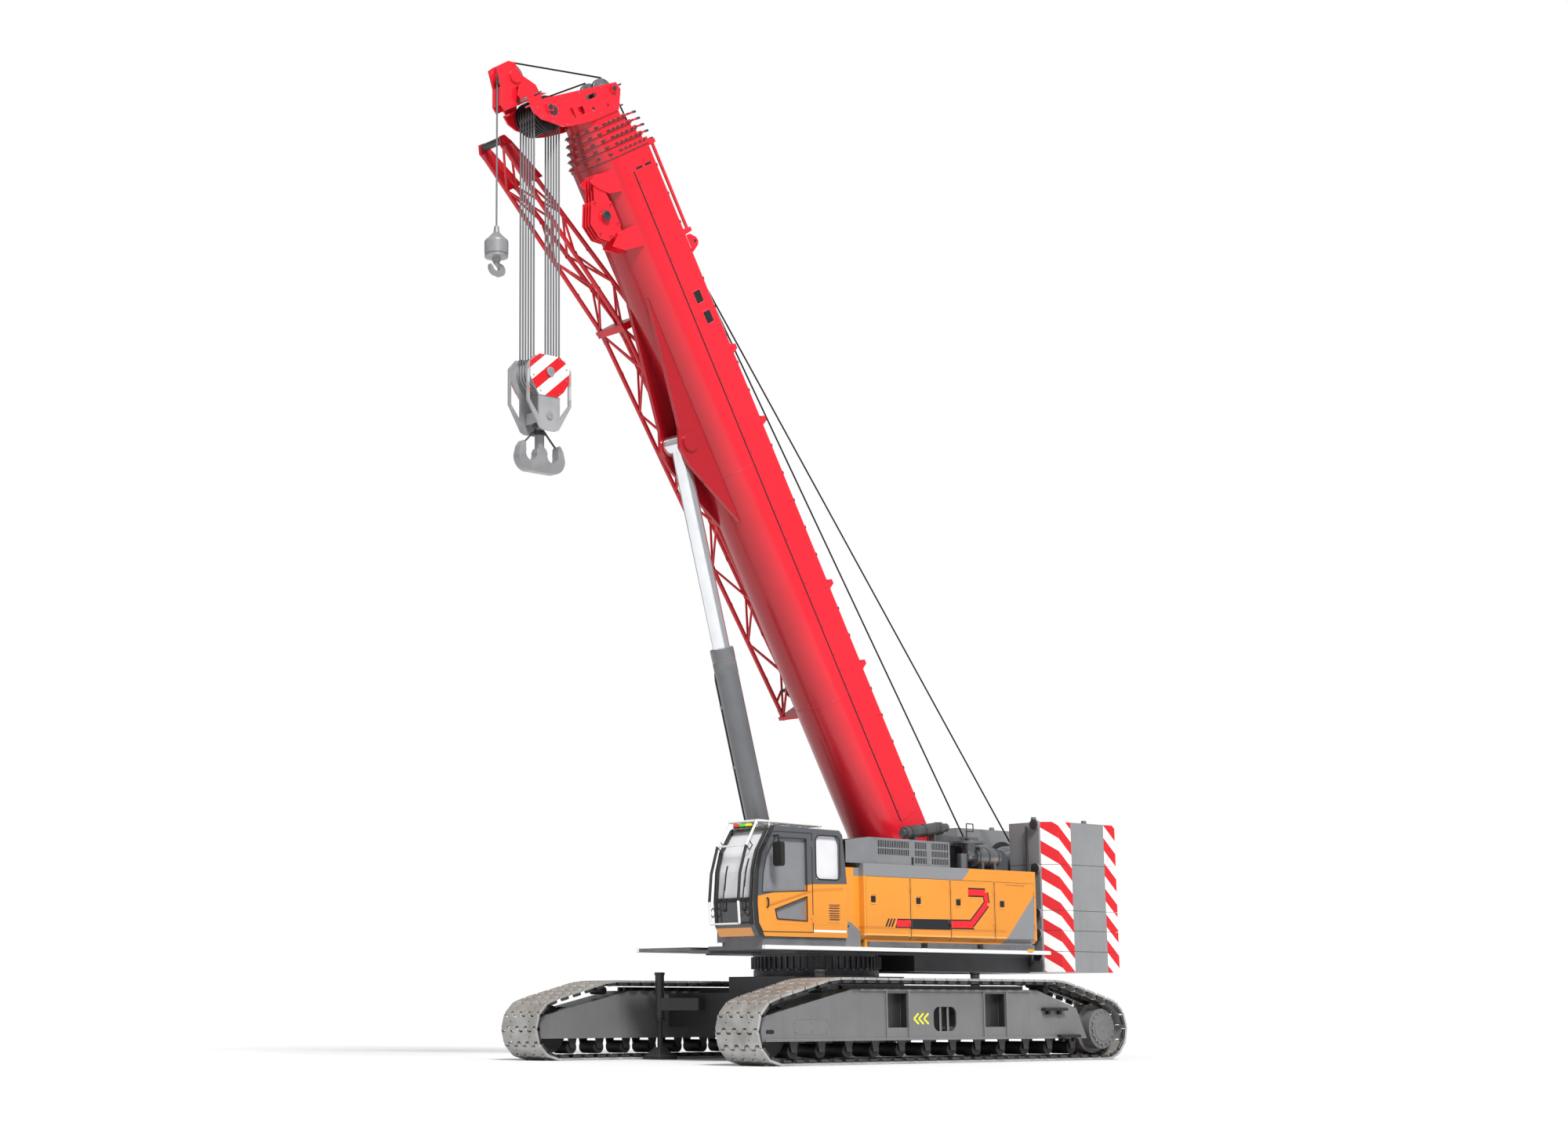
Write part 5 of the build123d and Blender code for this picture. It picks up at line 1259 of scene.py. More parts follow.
def straps(p, q, radius, shares):
    p, q = np.array(p) + foreX * slewX, np.array(q) + foreX * slewX
    band = [(radius, -0.018), (radius + 0.006, -0.014), (radius + 0.006, 0.014), (radius, 0.018)]
    return [turned(band, p + share * (q - p), q - p, 28) for share in shares]


for strapName, strapPlace in strapSettings.items():
    newPiece(strapName + "Straps", straps(*strapPlace), "dark", upper, "cab_trim", smooth=True)
print("house and deck trimmed")

# winches: rope laid in a helix seen from afar as ribs, so a turned profile with one rib a turn

drumSettings = {"places": ((-3.660, 3.240), (-5.153, 3.404)), "radius": 0.299, "rib": 0.0085, "turns": 22,
                "half": 0.315, "segments": 30}


def drumRope(s):
    # radius = drum + rib * |sin| across the drum's width
    y = np.linspace(-s["half"], s["half"], 4 * s["turns"] + 1)
    radius = s["radius"] + s["rib"] * np.abs(np.sin(np.pi * s["turns"] * (y / s["half"] + 1) / 2))
    profile = np.column_stack([radius, y])
    return [turned(profile, (slewX + x, 0, z), acrossY, s["segments"]) for x, z in s["places"]]


newPiece("drumRope", drumRope(drumSettings), "rope", upper, "rope", smooth=True)

# counterweight: lug caps on its front, pin caps on its top, and a rod down each stack's inner corner

ballastTrim = {
    "lugs": (1.718, 2.096, 2.446, 3.220, 3.977), "lugX": -4.19, "lugY": 1.203,
    "lug": ((0.082, -0.012), (0.088, -0.006), (0.088, 0.010), (0.070, 0.016), (0.004, 0.017)),
    "pins": ((-4.360, 4.082), (-5.727, 4.082)), "pinY": 1.067,
    "pin": ((0.044, -0.02), (0.050, -0.012), (0.050, 0.01), (0.02, 0.03), (0.004, 0.032)),
    "rodAt": (-4.20, 1.03), "rodZ": (1.55, 3.95), "rod": 0.022,
}


def ballastDetails(s):
    caps = [turned(s["lug"], (slewX + s["lugX"], way * s["lugY"], z), foreX, 24)
            for way in (1, -1) for z in s["lugs"]]
    newPiece("lugCaps", caps, "dark", upper, "ballast_grey", smooth=True)
    heads = [turned(s["pin"], (slewX + x, way * s["pinY"], z), upZ, 16)
             for way in (1, -1) for x, z in s["pins"]]
    newPiece("pinCaps", heads, "barrel", upper, "ballast_grey", smooth=True)
    x, y = s["rodAt"]
    rods = [rodBetween(*[(slewX + x, way * y, z) for z in s["rodZ"]], s["rod"]) for way in (1, -1)]
    newPiece("ballastRods", rods, "dark", upper, "ballast_grey", smooth=True)


ballastDetails(ballastTrim)
print("winches and counterweight dressed")

# boom: weld seams, windows, bolts; d is metres from the foot pin, m towards the boom's back

boomSettings = {
    "half": 0.490, "top": -0.022, "sideLow": -0.712, "step": 0.034, "base": 13.137, "pitch": 0.120,
    "lip": 0.016, "strip": 0.008, "sections": 6,
    "seams": (3.35, 7.55), "seamGrow": 0.002, "seamBead": 0.006,
    "windows": ((10.05, -0.26), (10.42, -0.30)), "window": (0.11, 0.09, 0.02), "windowRim": 0.012,
    "slots": ((12.72, -0.20), (12.72, -0.42)), "slot": (0.025, 0.075, 0.015),
    "stripD": (1.1, 12.5), "stripBolts": 44, "stripM": -0.535, "backM": -0.115, "bolt": (0.011, 0.007),
    "gap": ((0.92, 12.70), (-0.578, -0.561)),  # black strip in the shadow under the side strip, painted shadow: d and m
    "hose": {"d": (0.9, 12.9), "m": -0.002, "y": 0.455, "radius": 0.014},
    "clips": {"d": (1.15, 12.65), "m": -0.006, "count": 24, "half": (0.026, 0.026, 0.018), "round": 0.005},
}
railSettings = {
    "y": 0.44, "m": 0.115, "d": (11.46, 13.03), "radius": 0.028,
    "feet": (11.47, 13.03), "foot": ((-0.05, -0.03), (0.05, -0.03), (0.035, 0.16), (-0.035, 0.16)),
    "footY": (0.395, 0.485), "lugY": (0.425, 0.455),
    "lug": ((11.08, -0.03), (11.40, -0.03), (11.40, 0.12), (11.31, 0.22), (11.24, 0.24), (11.18, 0.20)),
    "eye": (11.26, 0.165, 0.454), "eyeSize": (0.032, 0.006),
}
boomLeft = {"u": boomBack, "v": boomAlong}
boomRight = {"u": boomAlong, "v": boomBack}
boomSides = ((1, boomLeft), (-1, boomRight))
sectionBodies = ["boom_base"] + [f"boom_section_{k}" for k in range(2, 6)] + ["boom_head"]


def sectionOutline(s, k, grow, arcSteps=16):
    # the section's outline across the boom: flat sides and top, half a circle below; y and m
    half, top = s["half"] - k * s["step"] + grow, s["top"] - k * s["step"] + grow
    t = np.linspace(0.0, -np.pi, arcSteps)
    arc = np.column_stack([half * np.cos(t), s["sideLow"] + half * np.sin(t)])
    return np.vstack([[(-half, top), (half, top)], arc])


def boxAbout(place, size):
    # rounded box about a place; size is half width, half height and radius
    (d, m), (halfD, halfM, radius) = place, size
    return roundedBox(d - halfD, d + halfD, m - halfM, m + halfM, radius)


def boomDetails(s):
    seam = sectionOutline(s, 0, s["seamGrow"])
    seams = [bead(seam, s["seamBead"], boomPoint(d, 0.0), acrossY, boomBack) for d in s["seams"]]
    newPiece("boomSeams", seams, "boom", "boom_base", "boom_red", smooth=True)
    side = s["half"] + s["strip"]
    at = np.linspace(*s["stripD"], s["stripBolts"])
    (d0, d1), (m0, m1) = s["gap"]
    gap = [(d0, m0), (d1, m0), (d1, m1), (d0, m1)]
    holes, rims, heads, lines = [], [], [], []
    for way, look in boomSides:
        for place in s["windows"]:
            outline = boxAbout(place, s["window"])
            holes.append(boomPlate(outline, *letInto(side, way, 0.004, 0.003)))
            rims.append(bead(outline, s["windowRim"], footPin + acrossY * way * side, boomAlong, boomBack))
        for place in s["slots"]:
            holes.append(boomPlate(boxAbout(place, s["slot"]), *letInto(s["half"], way, 0.004, 0.003)))
        row = footPin + at[:, None] * boomAlong + acrossY * way * side
        heads += [boltsAt(row + s["stripM"] * boomBack, s["bolt"], **look),
                  boltsAt(row[::3] + s["backM"] * boomBack, s["bolt"], **look)]
        # a black strip where the side strip's shadow falls: painted shadow
        lines.append(boomPlate(gap, *sorted((way * (s["half"] - 0.002), way * (side + 0.001)))))
    newPiece("boomWindows", holes, "rubber", "boom_base", "sheave_black")
    newPiece("boomWindowRims", rims, "boom", "boom_base", "boom_red", smooth=True)
    newPiece("boomBolts", heads, "dark", "boom_base", "boom_red")
    newPiece("boomStripGap", lines, "rubber", "boom_base", "sheave_black")


def boomHose(hose, clips):
    # a white hose lies along the back's left edge, held by small clips
    line = [boomPoint(d, hose["m"], hose["y"]) for d in np.linspace(*hose["d"], 25)]
    newPiece("boomHose", carried(line, hose["radius"], 8), "white", "boom_base", "guard_white",
             smooth=True)
    places = [boomPoint(d, clips["m"], hose["y"]) for d in np.linspace(*clips["d"], clips["count"])]
    newPiece("hoseClips", blocksAt(places, clips["half"], clips["round"], boomAlong, acrossY), "dark",
             "boom_base", "boom_red")


def backRail(s):
    # a guide rail stands off the back's left edge on two feet, with an eyed lug below it
    rail = carried([boomPoint(d, s["m"], s["y"]) for d in s["d"]], s["radius"], 10)
    feet = [boomPlate([(d + a, m) for a, m in s["foot"]], *s["footY"]) for d in s["feet"]]
    newPiece("backRail", [rail, *feet, boomPlate(s["lug"], *s["lugY"])], "boom", "boom_base", "boom_red")
    newPiece("backRailEye", boltsAt([boomPoint(*s["eye"])], s["eyeSize"], **boomLeft), "dark", "boom_base",
             "boom_red")


boomDetails(boomSettings)
boomHose(boomSettings["hose"], boomSettings["clips"])
backRail(railSettings)

collarSettings = {
    "sideM": (-0.10, -0.20, -0.33, -0.45, -0.56, -0.67),
    "beltAngles": (-20, -45, -70, -110, -135, -160),
    "block": (0.013, 0.034, 0.012),  # along the boom, round the section, outwards: half sizes
    "tab": (0.010, 0.0225, 0.010), "blockRound": 0.004, "tabRound": 0.003, "sink": 0.002,
    "back": 0.030, "headForward": 0.045,  # of the pads, from the collar's face
    "edge": (0.104, 0.064), "edgeLine": 0.007,  # back from the first collar's face, from the others'; then the radius of a dark bead there, painted shade at each lip
}


def collarPads(s, boom):
    # wear-pad holders: dark blocks and small red tabs round each section's head collar, outside its lip, and
    # a dark bead at each lip but the last, painted shade
    last = boom["sections"] - 1
    steps = list(zip(s["sideM"], s["sideM"][1:]))
    for k, body in enumerate(sectionBodies):
        half = boom["half"] - k * boom["step"] + (boom["lip"] if k < last else 0.0)
        face = boom["base"] + k * boom["pitch"]
        d = face - s["back"] + (s["headForward"] if k == last else 0.0)
        blockOut, tabOut = half + s["block"][2] - s["sink"], half + s["tab"][2] - s["sink"]
        blocks, tabs = [], []
        for way in (1, -1):
            blocks += [blocksAt(boomPoint(d, m, way * blockOut), s["block"], s["blockRound"],
                                boomAlong, boomBack) for m in s["sideM"]]
            tabs += [blocksAt(boomPoint(d, (m0 + m1) / 2, way * tabOut), s["tab"], s["tabRound"],
                              boomAlong, boomBack) for m0, m1 in steps]
        for a in np.radians(s["beltAngles"]):
            out = np.cos(a) * acrossY + np.sin(a) * boomBack
            at = boomPoint(d, boom["sideLow"]) + blockOut * out
            blocks.append(blocksAt(at, s["block"], s["blockRound"], boomAlong, np.cross(out, boomAlong)))
        # a dark bead along the lip's edge: painted shade
        if k < last:
            edge = sectionOutline(boom, k, boom["lip"] - s["sink"])
            at = boomPoint(face - s["edge"][min(k, 1)], 0.0)
            blocks.append(bead(edge, s["edgeLine"], at, acrossY, boomBack))
        newPiece(f"collarPads{k + 1}", blocks, "dark", body, "sheave_black")
        newPiece(f"collarTabs{k + 1}", tabs, "section", body, "boom_red")


collarPads(collarSettings, boomSettings)

prongSettings = {"back": (0.050, 0.030), "in": 0.030, "m": 0.1465, "radius": 0.021, "length": 0.075,
                 "tip": 0.0155, "foot": 0.009}  # back from the prong's end: the cap's tip and foot


def prongTips(s, boom):
    # a dark cap on the end of each section's two prongs
    for k, body in enumerate(sectionBodies[:-1]):
        d = boom["base"] + k * boom["pitch"] - s["back"][min(k, 1)]
        y = boom["half"] - k * boom["step"] - s["in"]
        caps = [rodBetween(boomPoint(d - s["foot"], s["m"] - s["length"], way * y),
                           boomPoint(d - s["tip"], s["m"], way * y), s["radius"], 10) for way in (1, -1)]
        newPiece(f"prongTips{k + 1}", caps, "dark", body, "sheave_black", smooth=True)


prongTips(prongSettings, boomSettings)
print("boom dressed")

# boom head, rooster and rope guards; d is from the last collar's face

tipD = boomSettings["base"] + 5 * boomSettings["pitch"]
headSettings = {
    "half": 0.350,
    "pins": ((0.430, -1.630, 0.048), (0.312, -0.157, 0.044), (0.360, -1.558, 0.075)),  # d, m, radius
    "wide": 0.06,  # a pin wider than this sits on the plate itself, with bolts round it
    "boss": 0.038,  # the others stand on bosses this high
    "boltRing": 8, "ringOut": 0.028, "ringBolt": (0.010, 0.008),
    "edge": ((0.075, -1.40), (0.20, -1.66), (0.34, -1.82), (0.50, -1.86), (0.52, -1.30), (0.46, -0.90),
             (0.40, -0.40), (0.20, -0.12), (0.05, -0.28), (0.03, -0.60)),
    "edgeBolt": (0.012, 0.009),
    "barD": 0.700, "bars": ((-1.648, 0.024), (-1.975, 0.022)),
    "barY": (-0.33, -0.18, -0.06, 0.06, 0.18, 0.33),
    "sleeve": 1.25,  # a bar's sleeve is this much thicker
    "keepers": ((0.345, -1.245), (0.330, 0.085)), "keeperY": 0.318, "keeper": 0.014,
}


def headPoint(d, m, y=0.0):
    return boomPoint(tipD + d, m, y)


def headDetails(s):
    pins, heads = [], []
    t = roundAngles(s["boltRing"])[:, None]
    for way, look in boomSides:
        for d, m, radius in s["pins"]:
            wide = radius > s["wide"]
            profile = [(radius, -0.004), (radius, 0.012), (radius - 0.01, 0.018), (0.012, 0.019),
                       (0.010, 0.012), (0.002, 0.012)]
            pins.append(turned(profile, headPoint(d, m, way * (s["half"] + (0.0 if wide else s["boss"]))),
                               (0, way, 0), 20))
            if wide:
                reach = radius + s["ringOut"]
                around = (headPoint(d, m, way * s["half"]) + reach * np.cos(t) * boomAlong
                          + reach * np.sin(t) * boomBack)
                heads.append(boltsAt(around, s["ringBolt"], **look))
        edge = [headPoint(d, m, way * s["half"]) for d, m in s["edge"]]
        heads.append(boltsAt(edge, s["edgeBolt"], **look))
    newPiece("headPins", pins, "dark", "boom_head", "sheave_black", smooth=True)
    newPiece("headBolts", heads, "zinc", "boom_head", "boom_red")
    # hinge bars: bare ends and middle, with a dark sleeve on each side of the middle
    ends, sleeves = [], []
    for m, radius in s["bars"]:
        at = [headPoint(s["barD"], m, y) for y in s["barY"]]
        ends += [rodBetween(at[i], at[i + 1], radius, 12) for i in (0, 4, 2)]
        sleeves += [rodBetween(at[i], at[i + 1], radius * s["sleeve"], 12) for i in (1, 3)]
    newPiece("hingeBars", ends, "zinc", "boom_head", "bright_metal", smooth=True)
    newPiece("hingeSleeves", sleeves, "dark", "boom_head", "sheave_black", smooth=True)
    # guards that keep the ropes in their grooves: bars across, ahead of the rims
    keepers = [rodBetween(headPoint(d, m, -s["keeperY"]), headPoint(d, m, s["keeperY"]), s["keeper"])
               for d, m in s["keepers"]]
    newPiece("ropeKeepers", keepers, "dark", "boom_head", "sheave_black", smooth=True)


headDetails(headSettings)

sheaveSettings = {"wheels": ((1.086, -1.832, 0.0, 0.250, 0.030),  # d, m, y, radius, half width
                             (0.333, -0.120, -0.238, 0.220, 0.025), (0.333, -0.120, 0.060, 0.220, 0.025)),
                  "segments": 36}


def sheaveFaces(s):
    # turned faces of a rope sheave: raised rim, dished web, hub; both sides of each wheel
    shapes = []
    for d, m, y, radius, half in s["wheels"]:
        profile = [(radius - 0.001, -0.002), (radius - 0.002, 0.003), (radius - 0.028, 0.004),
                   (radius - 0.045, 0.0012), (0.105, 0.0012), (0.095, 0.006), (0.062, 0.006),
                   (0.060, -0.002)]
        shapes += [turned(profile, headPoint(d, m, y + way * half), (0, way, 0), s["segments"])
                   for way in (1, -1)]
    return shapes


newPiece("sheaveFaces", sheaveFaces(sheaveSettings), "sheaveGrey", "boom_head", "bright_metal",
         smooth=True)
print("boom head dressed")

# stowed jib: gussets where the lacing meets the chords, sleeves and bolts at its joints, its sheave

jibSettings = {
    "y": (-1.180, -0.640), "foot": (3.050, -0.596), "joint": (10.380, -1.046), "tip": (13.900, -1.950),
    "depth": 0.420, "bays": 10,
    "upperStart": (10.460, -1.060), "upperDepth": (0.430, 0.160), "upperBays": 5,
    "gusset": (0.042, 0.034, 0.006), "gussetRound": 0.003, "gussetIn": 0.02,
    "sleeveAt": (0.012, 0.988), "sleeveHalf": 0.010, "sleeve": 0.045,
    "pinAt": (13.990, -1.890), "pinOut": 0.035, "pin": 0.0615,
    "bolt": (0.030, 0.02), "boltBack": 0.032,
    "wheel": ((0.150, -0.03), (0.155, -0.02), (0.120, 0.0), (0.155, 0.02), (0.150, 0.03), (0.04, 0.032)),
    "wheelAt": (3.470, -0.396), "wheelY": -0.91, "axleY": (-1.16, -0.66), "axle": 0.028,
    "armAt": 0.04, "arm": 0.022,
}


def jibPoint(run, t, y, upper):
    # on the lower or upper chord of a run at the share t of its length; its depth tapers evenly
    start, end, d0, d1 = run
    d = start[0] + (end[0] - start[0]) * t
    m = start[1] + (end[1] - start[1]) * t + (d0 + (d1 - d0) * t) * upper
    return boomPoint(d, m, y)


def jibDetails(s):
    gussets, sleeves = [], []
    lower = (s["foot"], s["joint"], s["depth"], s["depth"])
    chords = [(y, upper) for y in s["y"] for upper in (0, 1)]
    for run, bays in ((lower, s["bays"]), ((s["upperStart"], s["tip"], *s["upperDepth"]), s["upperBays"])):
        gussets += [jibPoint(run, i / bays, *chord) + s["gussetIn"] * (1 - 2 * chord[1]) * boomBack
                    for i in range(1, bays) for chord in chords]
        sleeves += [rodBetween(jibPoint(run, t - s["sleeveHalf"], *chord),
                               jibPoint(run, t + s["sleeveHalf"], *chord), s["sleeve"], 10)
                    for t in s["sleeveAt"] for chord in chords]
    newPiece("jibGussets", blocksAt(gussets, s["gusset"], s["gussetRound"], boomAlong, boomBack), "jib",
             "boom_base", "boom_red")
    # the sleeves wear the darker red: painted shade
    newPiece("jibSleeves", sleeves, "bracketRed", "boom_base", "boom_red", smooth=True)
    tipAt = boomPoint(*s["pinAt"])
    ends = (s["y"][0] - s["pinOut"], s["y"][1] + s["pinOut"])
    pin = rodBetween(*[tipAt + acrossY * y for y in ends], s["pin"], 16)
    newPiece("jibTipPin", pin, "dark", "boom_base", "sheave_black", smooth=True)
    heads = [boomPoint(d, m + up, y) - s["boltBack"] * boomAlong
             for d, m in (s["foot"], s["joint"]) for y in s["y"] for up in (0.0, s["depth"])]
    newPiece("jibBolts", boltsAt(heads, s["bolt"], boomBack, acrossY), "dark", "boom_base",
             "sheave_black")
    # the erecting sheave in the jib's lower end
    wheel = turned(s["wheel"], boomPoint(*s["wheelAt"], s["wheelY"]), acrossY, 28)
    axle = rodBetween(*[boomPoint(*s["wheelAt"], y) for y in s["axleY"]], s["axle"], 10)
    arms = [rodBetween(jibPoint(lower, s["armAt"], y, upper), boomPoint(*s["wheelAt"], y), s["arm"])
            for y, upper in chords]
    newPiece("jibWheel", [wheel, axle], "sheave", "boom_base", "sheave_black", smooth=True)
    newPiece("jibWheelArms", arms, "jib", "boom_base", "boom_red", smooth=True)


jibDetails(jibSettings)

# spare sheave block: hub and bolts on its outer cheek

spareSettings = {
    "at": (12.25, -1.50), "segments": 28,
    "hub": ((0.085, -0.002), (0.085, 0.014), (0.071, 0.022), (0.050, 0.022), (0.046, 0.004),
            (0.004, 0.003)),
    "bolts": ((0.26, -0.10), (0.13, 0.20), (-0.19, 0.20), (-0.33, -0.06), (-0.22, -0.24)),  # from the hub
    "boltIn": 0.028, "bolt": (0.014, 0.020),
}


def spareDetails(s):
    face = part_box("spare_sheave_block")[1].y
    d, m = s["at"]
    hub = turned(s["hub"], boomPoint(d, m, face), acrossY, s["segments"])
    newPiece("spareHub", hub, "dark", "boom_base", "sheave_black", smooth=True)
    spots = [boomPoint(d + a, m + b, face - s["boltIn"]) for a, b in s["bolts"]]
    newPiece("spareBolts", boltsAt(spots, s["bolt"], **boomLeft), "dark", "boom_base", "boom_red")


spareDetails(spareSettings)

# lift cylinder: collars and bolts of the barrel, a pipe down its side, collars at the rod's eye

cylinderSettings = {
    "eye": (8.349, -1.517), "foot": (0.760, 1.950), "barrel": 4.85, "radius": 0.190, "segments": 40,
    # rings: radius beyond the barrel's own, and metres along it
    "topRing": ((-0.006, -0.44), (0.003, -0.43), (0.005, -0.235), (0.001, -0.225), (0.001, -0.20),
                (0.005, -0.19), (0.005, -0.012), (-0.006, -0.004)),
    "lowRing": ((-0.006, -0.03), (0.006, -0.02), (0.006, 0.03), (-0.006, 0.04)), "lowRingAt": 0.45,
    "bolts": 20, "boltRing": 0.172, "bolt": (0.010, 0.010),
    "pipeSide": (-0.866, -0.5),  # across the crane, and square to that and to the barrel
    "pipeAt": (0.5, 1.5, 2.5, 3.5, 4.35), "pipeOut": 0.022, "pipeEnd": (4.47, 0.005), "pipe": 0.016,
    "clampAt": (0.9, 1.9, 2.9, 3.9), "clampOut": 0.016, "clamp": (0.03, 0.03, 0.022),
    "collar": ((0.172, -0.006), (0.150, 0.010), (0.125, 0.012)),
}


def cylinderDetails(s):
    foot, eye = np.array([slewX + s["foot"][0], 0.0, s["foot"][1]]), boomPoint(*s["eye"])
    way = (eye - foot) / np.linalg.norm(eye - foot)
    off = np.cross(way, acrossY)
    r, top = s["radius"], foot + s["barrel"] * way
    rings = [ring([(r + out, along) for out, along in profile], place, way, s["segments"])
             for profile, place in ((s["topRing"], top), (s["lowRing"], foot + s["lowRingAt"] * way))]
    newPiece("barrelCollar", rings, "barrel", "cylinder_barrel", "barrel_grey", smooth=True)
    t = roundAngles(s["bolts"])[:, None]
    spots = top + 0.001 * way + s["boltRing"] * (np.cos(t) * acrossY + np.sin(t) * off)
    newPiece("barrelBolts", boltsAt(spots, s["bolt"], acrossY, np.cross(way, acrossY)), "zinc",
             "cylinder_barrel", "barrel_grey")
    out = s["pipeSide"][0] * acrossY + s["pipeSide"][1] * off
    pipe = [foot + d * way + out * (r + s["pipeOut"]) for d in s["pipeAt"]]
    pipe.append(foot + s["pipeEnd"][0] * way + out * (r + s["pipeEnd"][1]))
    newPiece("cylinderPipe", carried(pipe, s["pipe"], 8), "dark", "cylinder_barrel", "barrel_grey",
             smooth=True)
    clamps = [foot + d * way + out * (r + s["clampOut"]) for d in s["clampAt"]]
    newPiece("pipeClamps", blocksAt(clamps, s["clamp"], u=way, v=np.cross(out, way)), "zinc",
             "cylinder_barrel", "barrel_grey")
    collars = [turned(s["collar"], eye + acrossY * w * r, (0, w, 0), 28) for w in (1, -1)]
    newPiece("eyeCollars", collars, "barrel", "cylinder_rod", "barrel_grey", smooth=True)


cylinderDetails(cylinderSettings)
print("jib and cylinder dressed")

# hook block and hooks: bolts and caps on the cheeks, the shank's nut, a spring latch across each bowl

hookSettings = {
    "axleZ": 10.600, "half": 0.262, "segments": 24,
    "cheekBolts": ((-0.33, 0.08), (-0.33, -0.10), (-0.19, -0.33), (0.19, -0.33), (0.33, -0.10),
                   (0.33, 0.08), (0.18, 0.22), (-0.18, 0.22)),  # from the axle, x and z
    "cheekBolt": (0.014, 0.012),
    "axleCap": ((0.075, 0.0), (0.075, 0.014), (0.062, 0.020), (0.02, 0.021), (0.004, 0.021)),
    "lowCap": ((0.060, 0.0), (0.060, 0.008), (0.050, 0.012), (0.004, 0.012)),
    "axleCapOut": 0.010, "lowCapIn": 0.005, "lowDown": 0.700,
    "nut": ((0.112, -0.03), (0.116, -0.02), (0.116, 0.02), (0.085, 0.034), (0.076, 0.036)), "nutDown": 0.83,
    "collar": ((0.076, -0.03), (0.095, -0.02), (0.095, 0.03), (0.076, 0.05)), "collarDown": 0.95,
    "latch": ((0.060, 0.330), (0.12, 0.270), (0.22, 0.165), (0.315, 0.070)), "latchZ": 9.400,
    "latchRadius": 0.020, "latchFlat": 0.7,
}


def hookDetails(s):
    low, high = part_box("hook_block")
    x, z = (low.x + high.x) / 2, s["axleZ"]
    heads, caps = [], []
    for _, way, look in craneSides:
        face = way * s["half"]
        spots = [(x + dx, face, z + dz) for dx, dz in s["cheekBolts"]]
        heads.append(boltsAt(spots, s["cheekBolt"], **look))
        caps += [turned(s["axleCap"], (x, face + way * s["axleCapOut"], z), (0, way, 0), s["segments"]),
                 turned(s["lowCap"], (x, way * (s["half"] - s["lowCapIn"]), z - s["lowDown"]), (0, way, 0),
                        s["segments"])]
    newPiece("blockBolts", heads, "zinc", "main_fall", "hook_red")
    newPiece("blockCaps", caps, "forged", "main_fall", "hook_iron", smooth=True)
    nut = [turned(s[part], (x, 0.0, z - s[down]), upZ, s["segments"])
           for part, down in (("nut", "nutDown"), ("collar", "collarDown"))]
    newPiece("hookNut", nut, "dark", "load_hook", "hook_iron", smooth=True)
    latches = [carried([(x + way * dx, 0.0, s["latchZ"] + dz) for dx, dz in s["latch"]],
                       s["latchRadius"], 8, s["latchFlat"]) for way in (1, -1)]
    newPiece("hookLatches", latches, "dark", "load_hook", "hook_iron", smooth=True)


hookDetails(hookSettings)
print("hooks dressed")

# cab: seals, vent, handle, wipers and the guards' sleeves

cabRubber = {"finish": "rubber", "body": upper, "smooth": True, "slot": "cab_trim"}
doorTrim = {
    "face": 1.500,
    "outline": ((1.140, 2.005), (2.240, 2.000), (2.325, 2.130), (2.352, 2.455), (2.312, 2.925),
                (2.228, 3.212), (2.000, 3.555), (1.140, 3.555)),
    "sealOut": 0.002, "seal": 0.0075,
    "windows": (
        ((1.264, 2.650), (2.240, 2.600), (2.212, 2.912), (2.136, 3.175), (1.940, 3.461), (1.264, 3.461)),
        ((1.264, 2.180), (1.920, 2.200), (1.960, 2.348), (1.264, 2.560)),
    ),
    "windowSeal": 0.011,
    "pocket": (2.110, 2.205, 2.355, 2.530, 0.02),
    "gripX": 2.140, "grip": ((0.0, 2.372), (0.035, 2.39), (0.040, 2.445), (0.035, 2.50), (0.0, 2.518)),
    "gripRadius": 0.013,
}


def doorSeals(s):
    face = s["face"]
    newPiece("doorSeal", bead(s["outline"], s["seal"], (0, face + s["sealOut"], 0)), "rubber", "cab_door",
             "cab_trim", smooth=True)
    newPiece("doorWindowSeals", [bead(window, s["windowSeal"], (0, face, 0)) for window in s["windows"]],
             "rubber", "cab_door", "cab_trim", smooth=True)


def doorHandle(s):
    # a grip that stands in front of its pocket
    face = s["face"]
    pocket = sidePlate(roundedBox(*s["pocket"]), face - 0.004, face + 0.002)
    newPiece("doorPocket", pocket, "cab", "cab_door", "cab_orange")
    grip = carried([(s["gripX"], face + out, z) for out, z in s["grip"]], s["gripRadius"], 8)
    newPiece("doorGrip", grip, "rubber", "cab_door", "cab_trim", smooth=True)


ventTrim = {
    "face": 1.500, "rearWindow": (0.516, 1.058, 2.838, 3.532, 0.09), "rearSeal": 0.012,
    "vent": (0.520, 0.798, 2.168, 2.462), "ventRound": 0.03, "ventRim": 0.007,
    "slats": 7, "slatIn": 0.035, "slatTop": 0.045, "slat": 0.011,
}


def ventDetails(s):
    # rubber round the rear side window; below it an air inlet with slats
    face = s["face"]
    newPiece("rearWindowSeal", bead(roundedBox(*s["rearWindow"]), s["rearSeal"], (0, face, 0)),
             **cabRubber)
    x0, x1, z0, z1 = s["vent"]
    newPiece("ventRim", bead(roundedBox(*s["vent"], s["ventRound"]), s["ventRim"], (0, face, 0)), "cab",
             upper, "cab_orange", smooth=True)
    x0, x1 = x0 + s["slatIn"], x1 - s["slatIn"]
    slats = [sidePlate([(x0, z), (x1, z), (x1, z + s["slat"]), (x0, z + s["slat"])],
                       face - 0.003, face + 0.002)
             for z in np.linspace(z0 + s["slatIn"], z1 - s["slatTop"], s["slats"])]
    newPiece("ventSlats", slats, "dark", upper, "cab_orange")


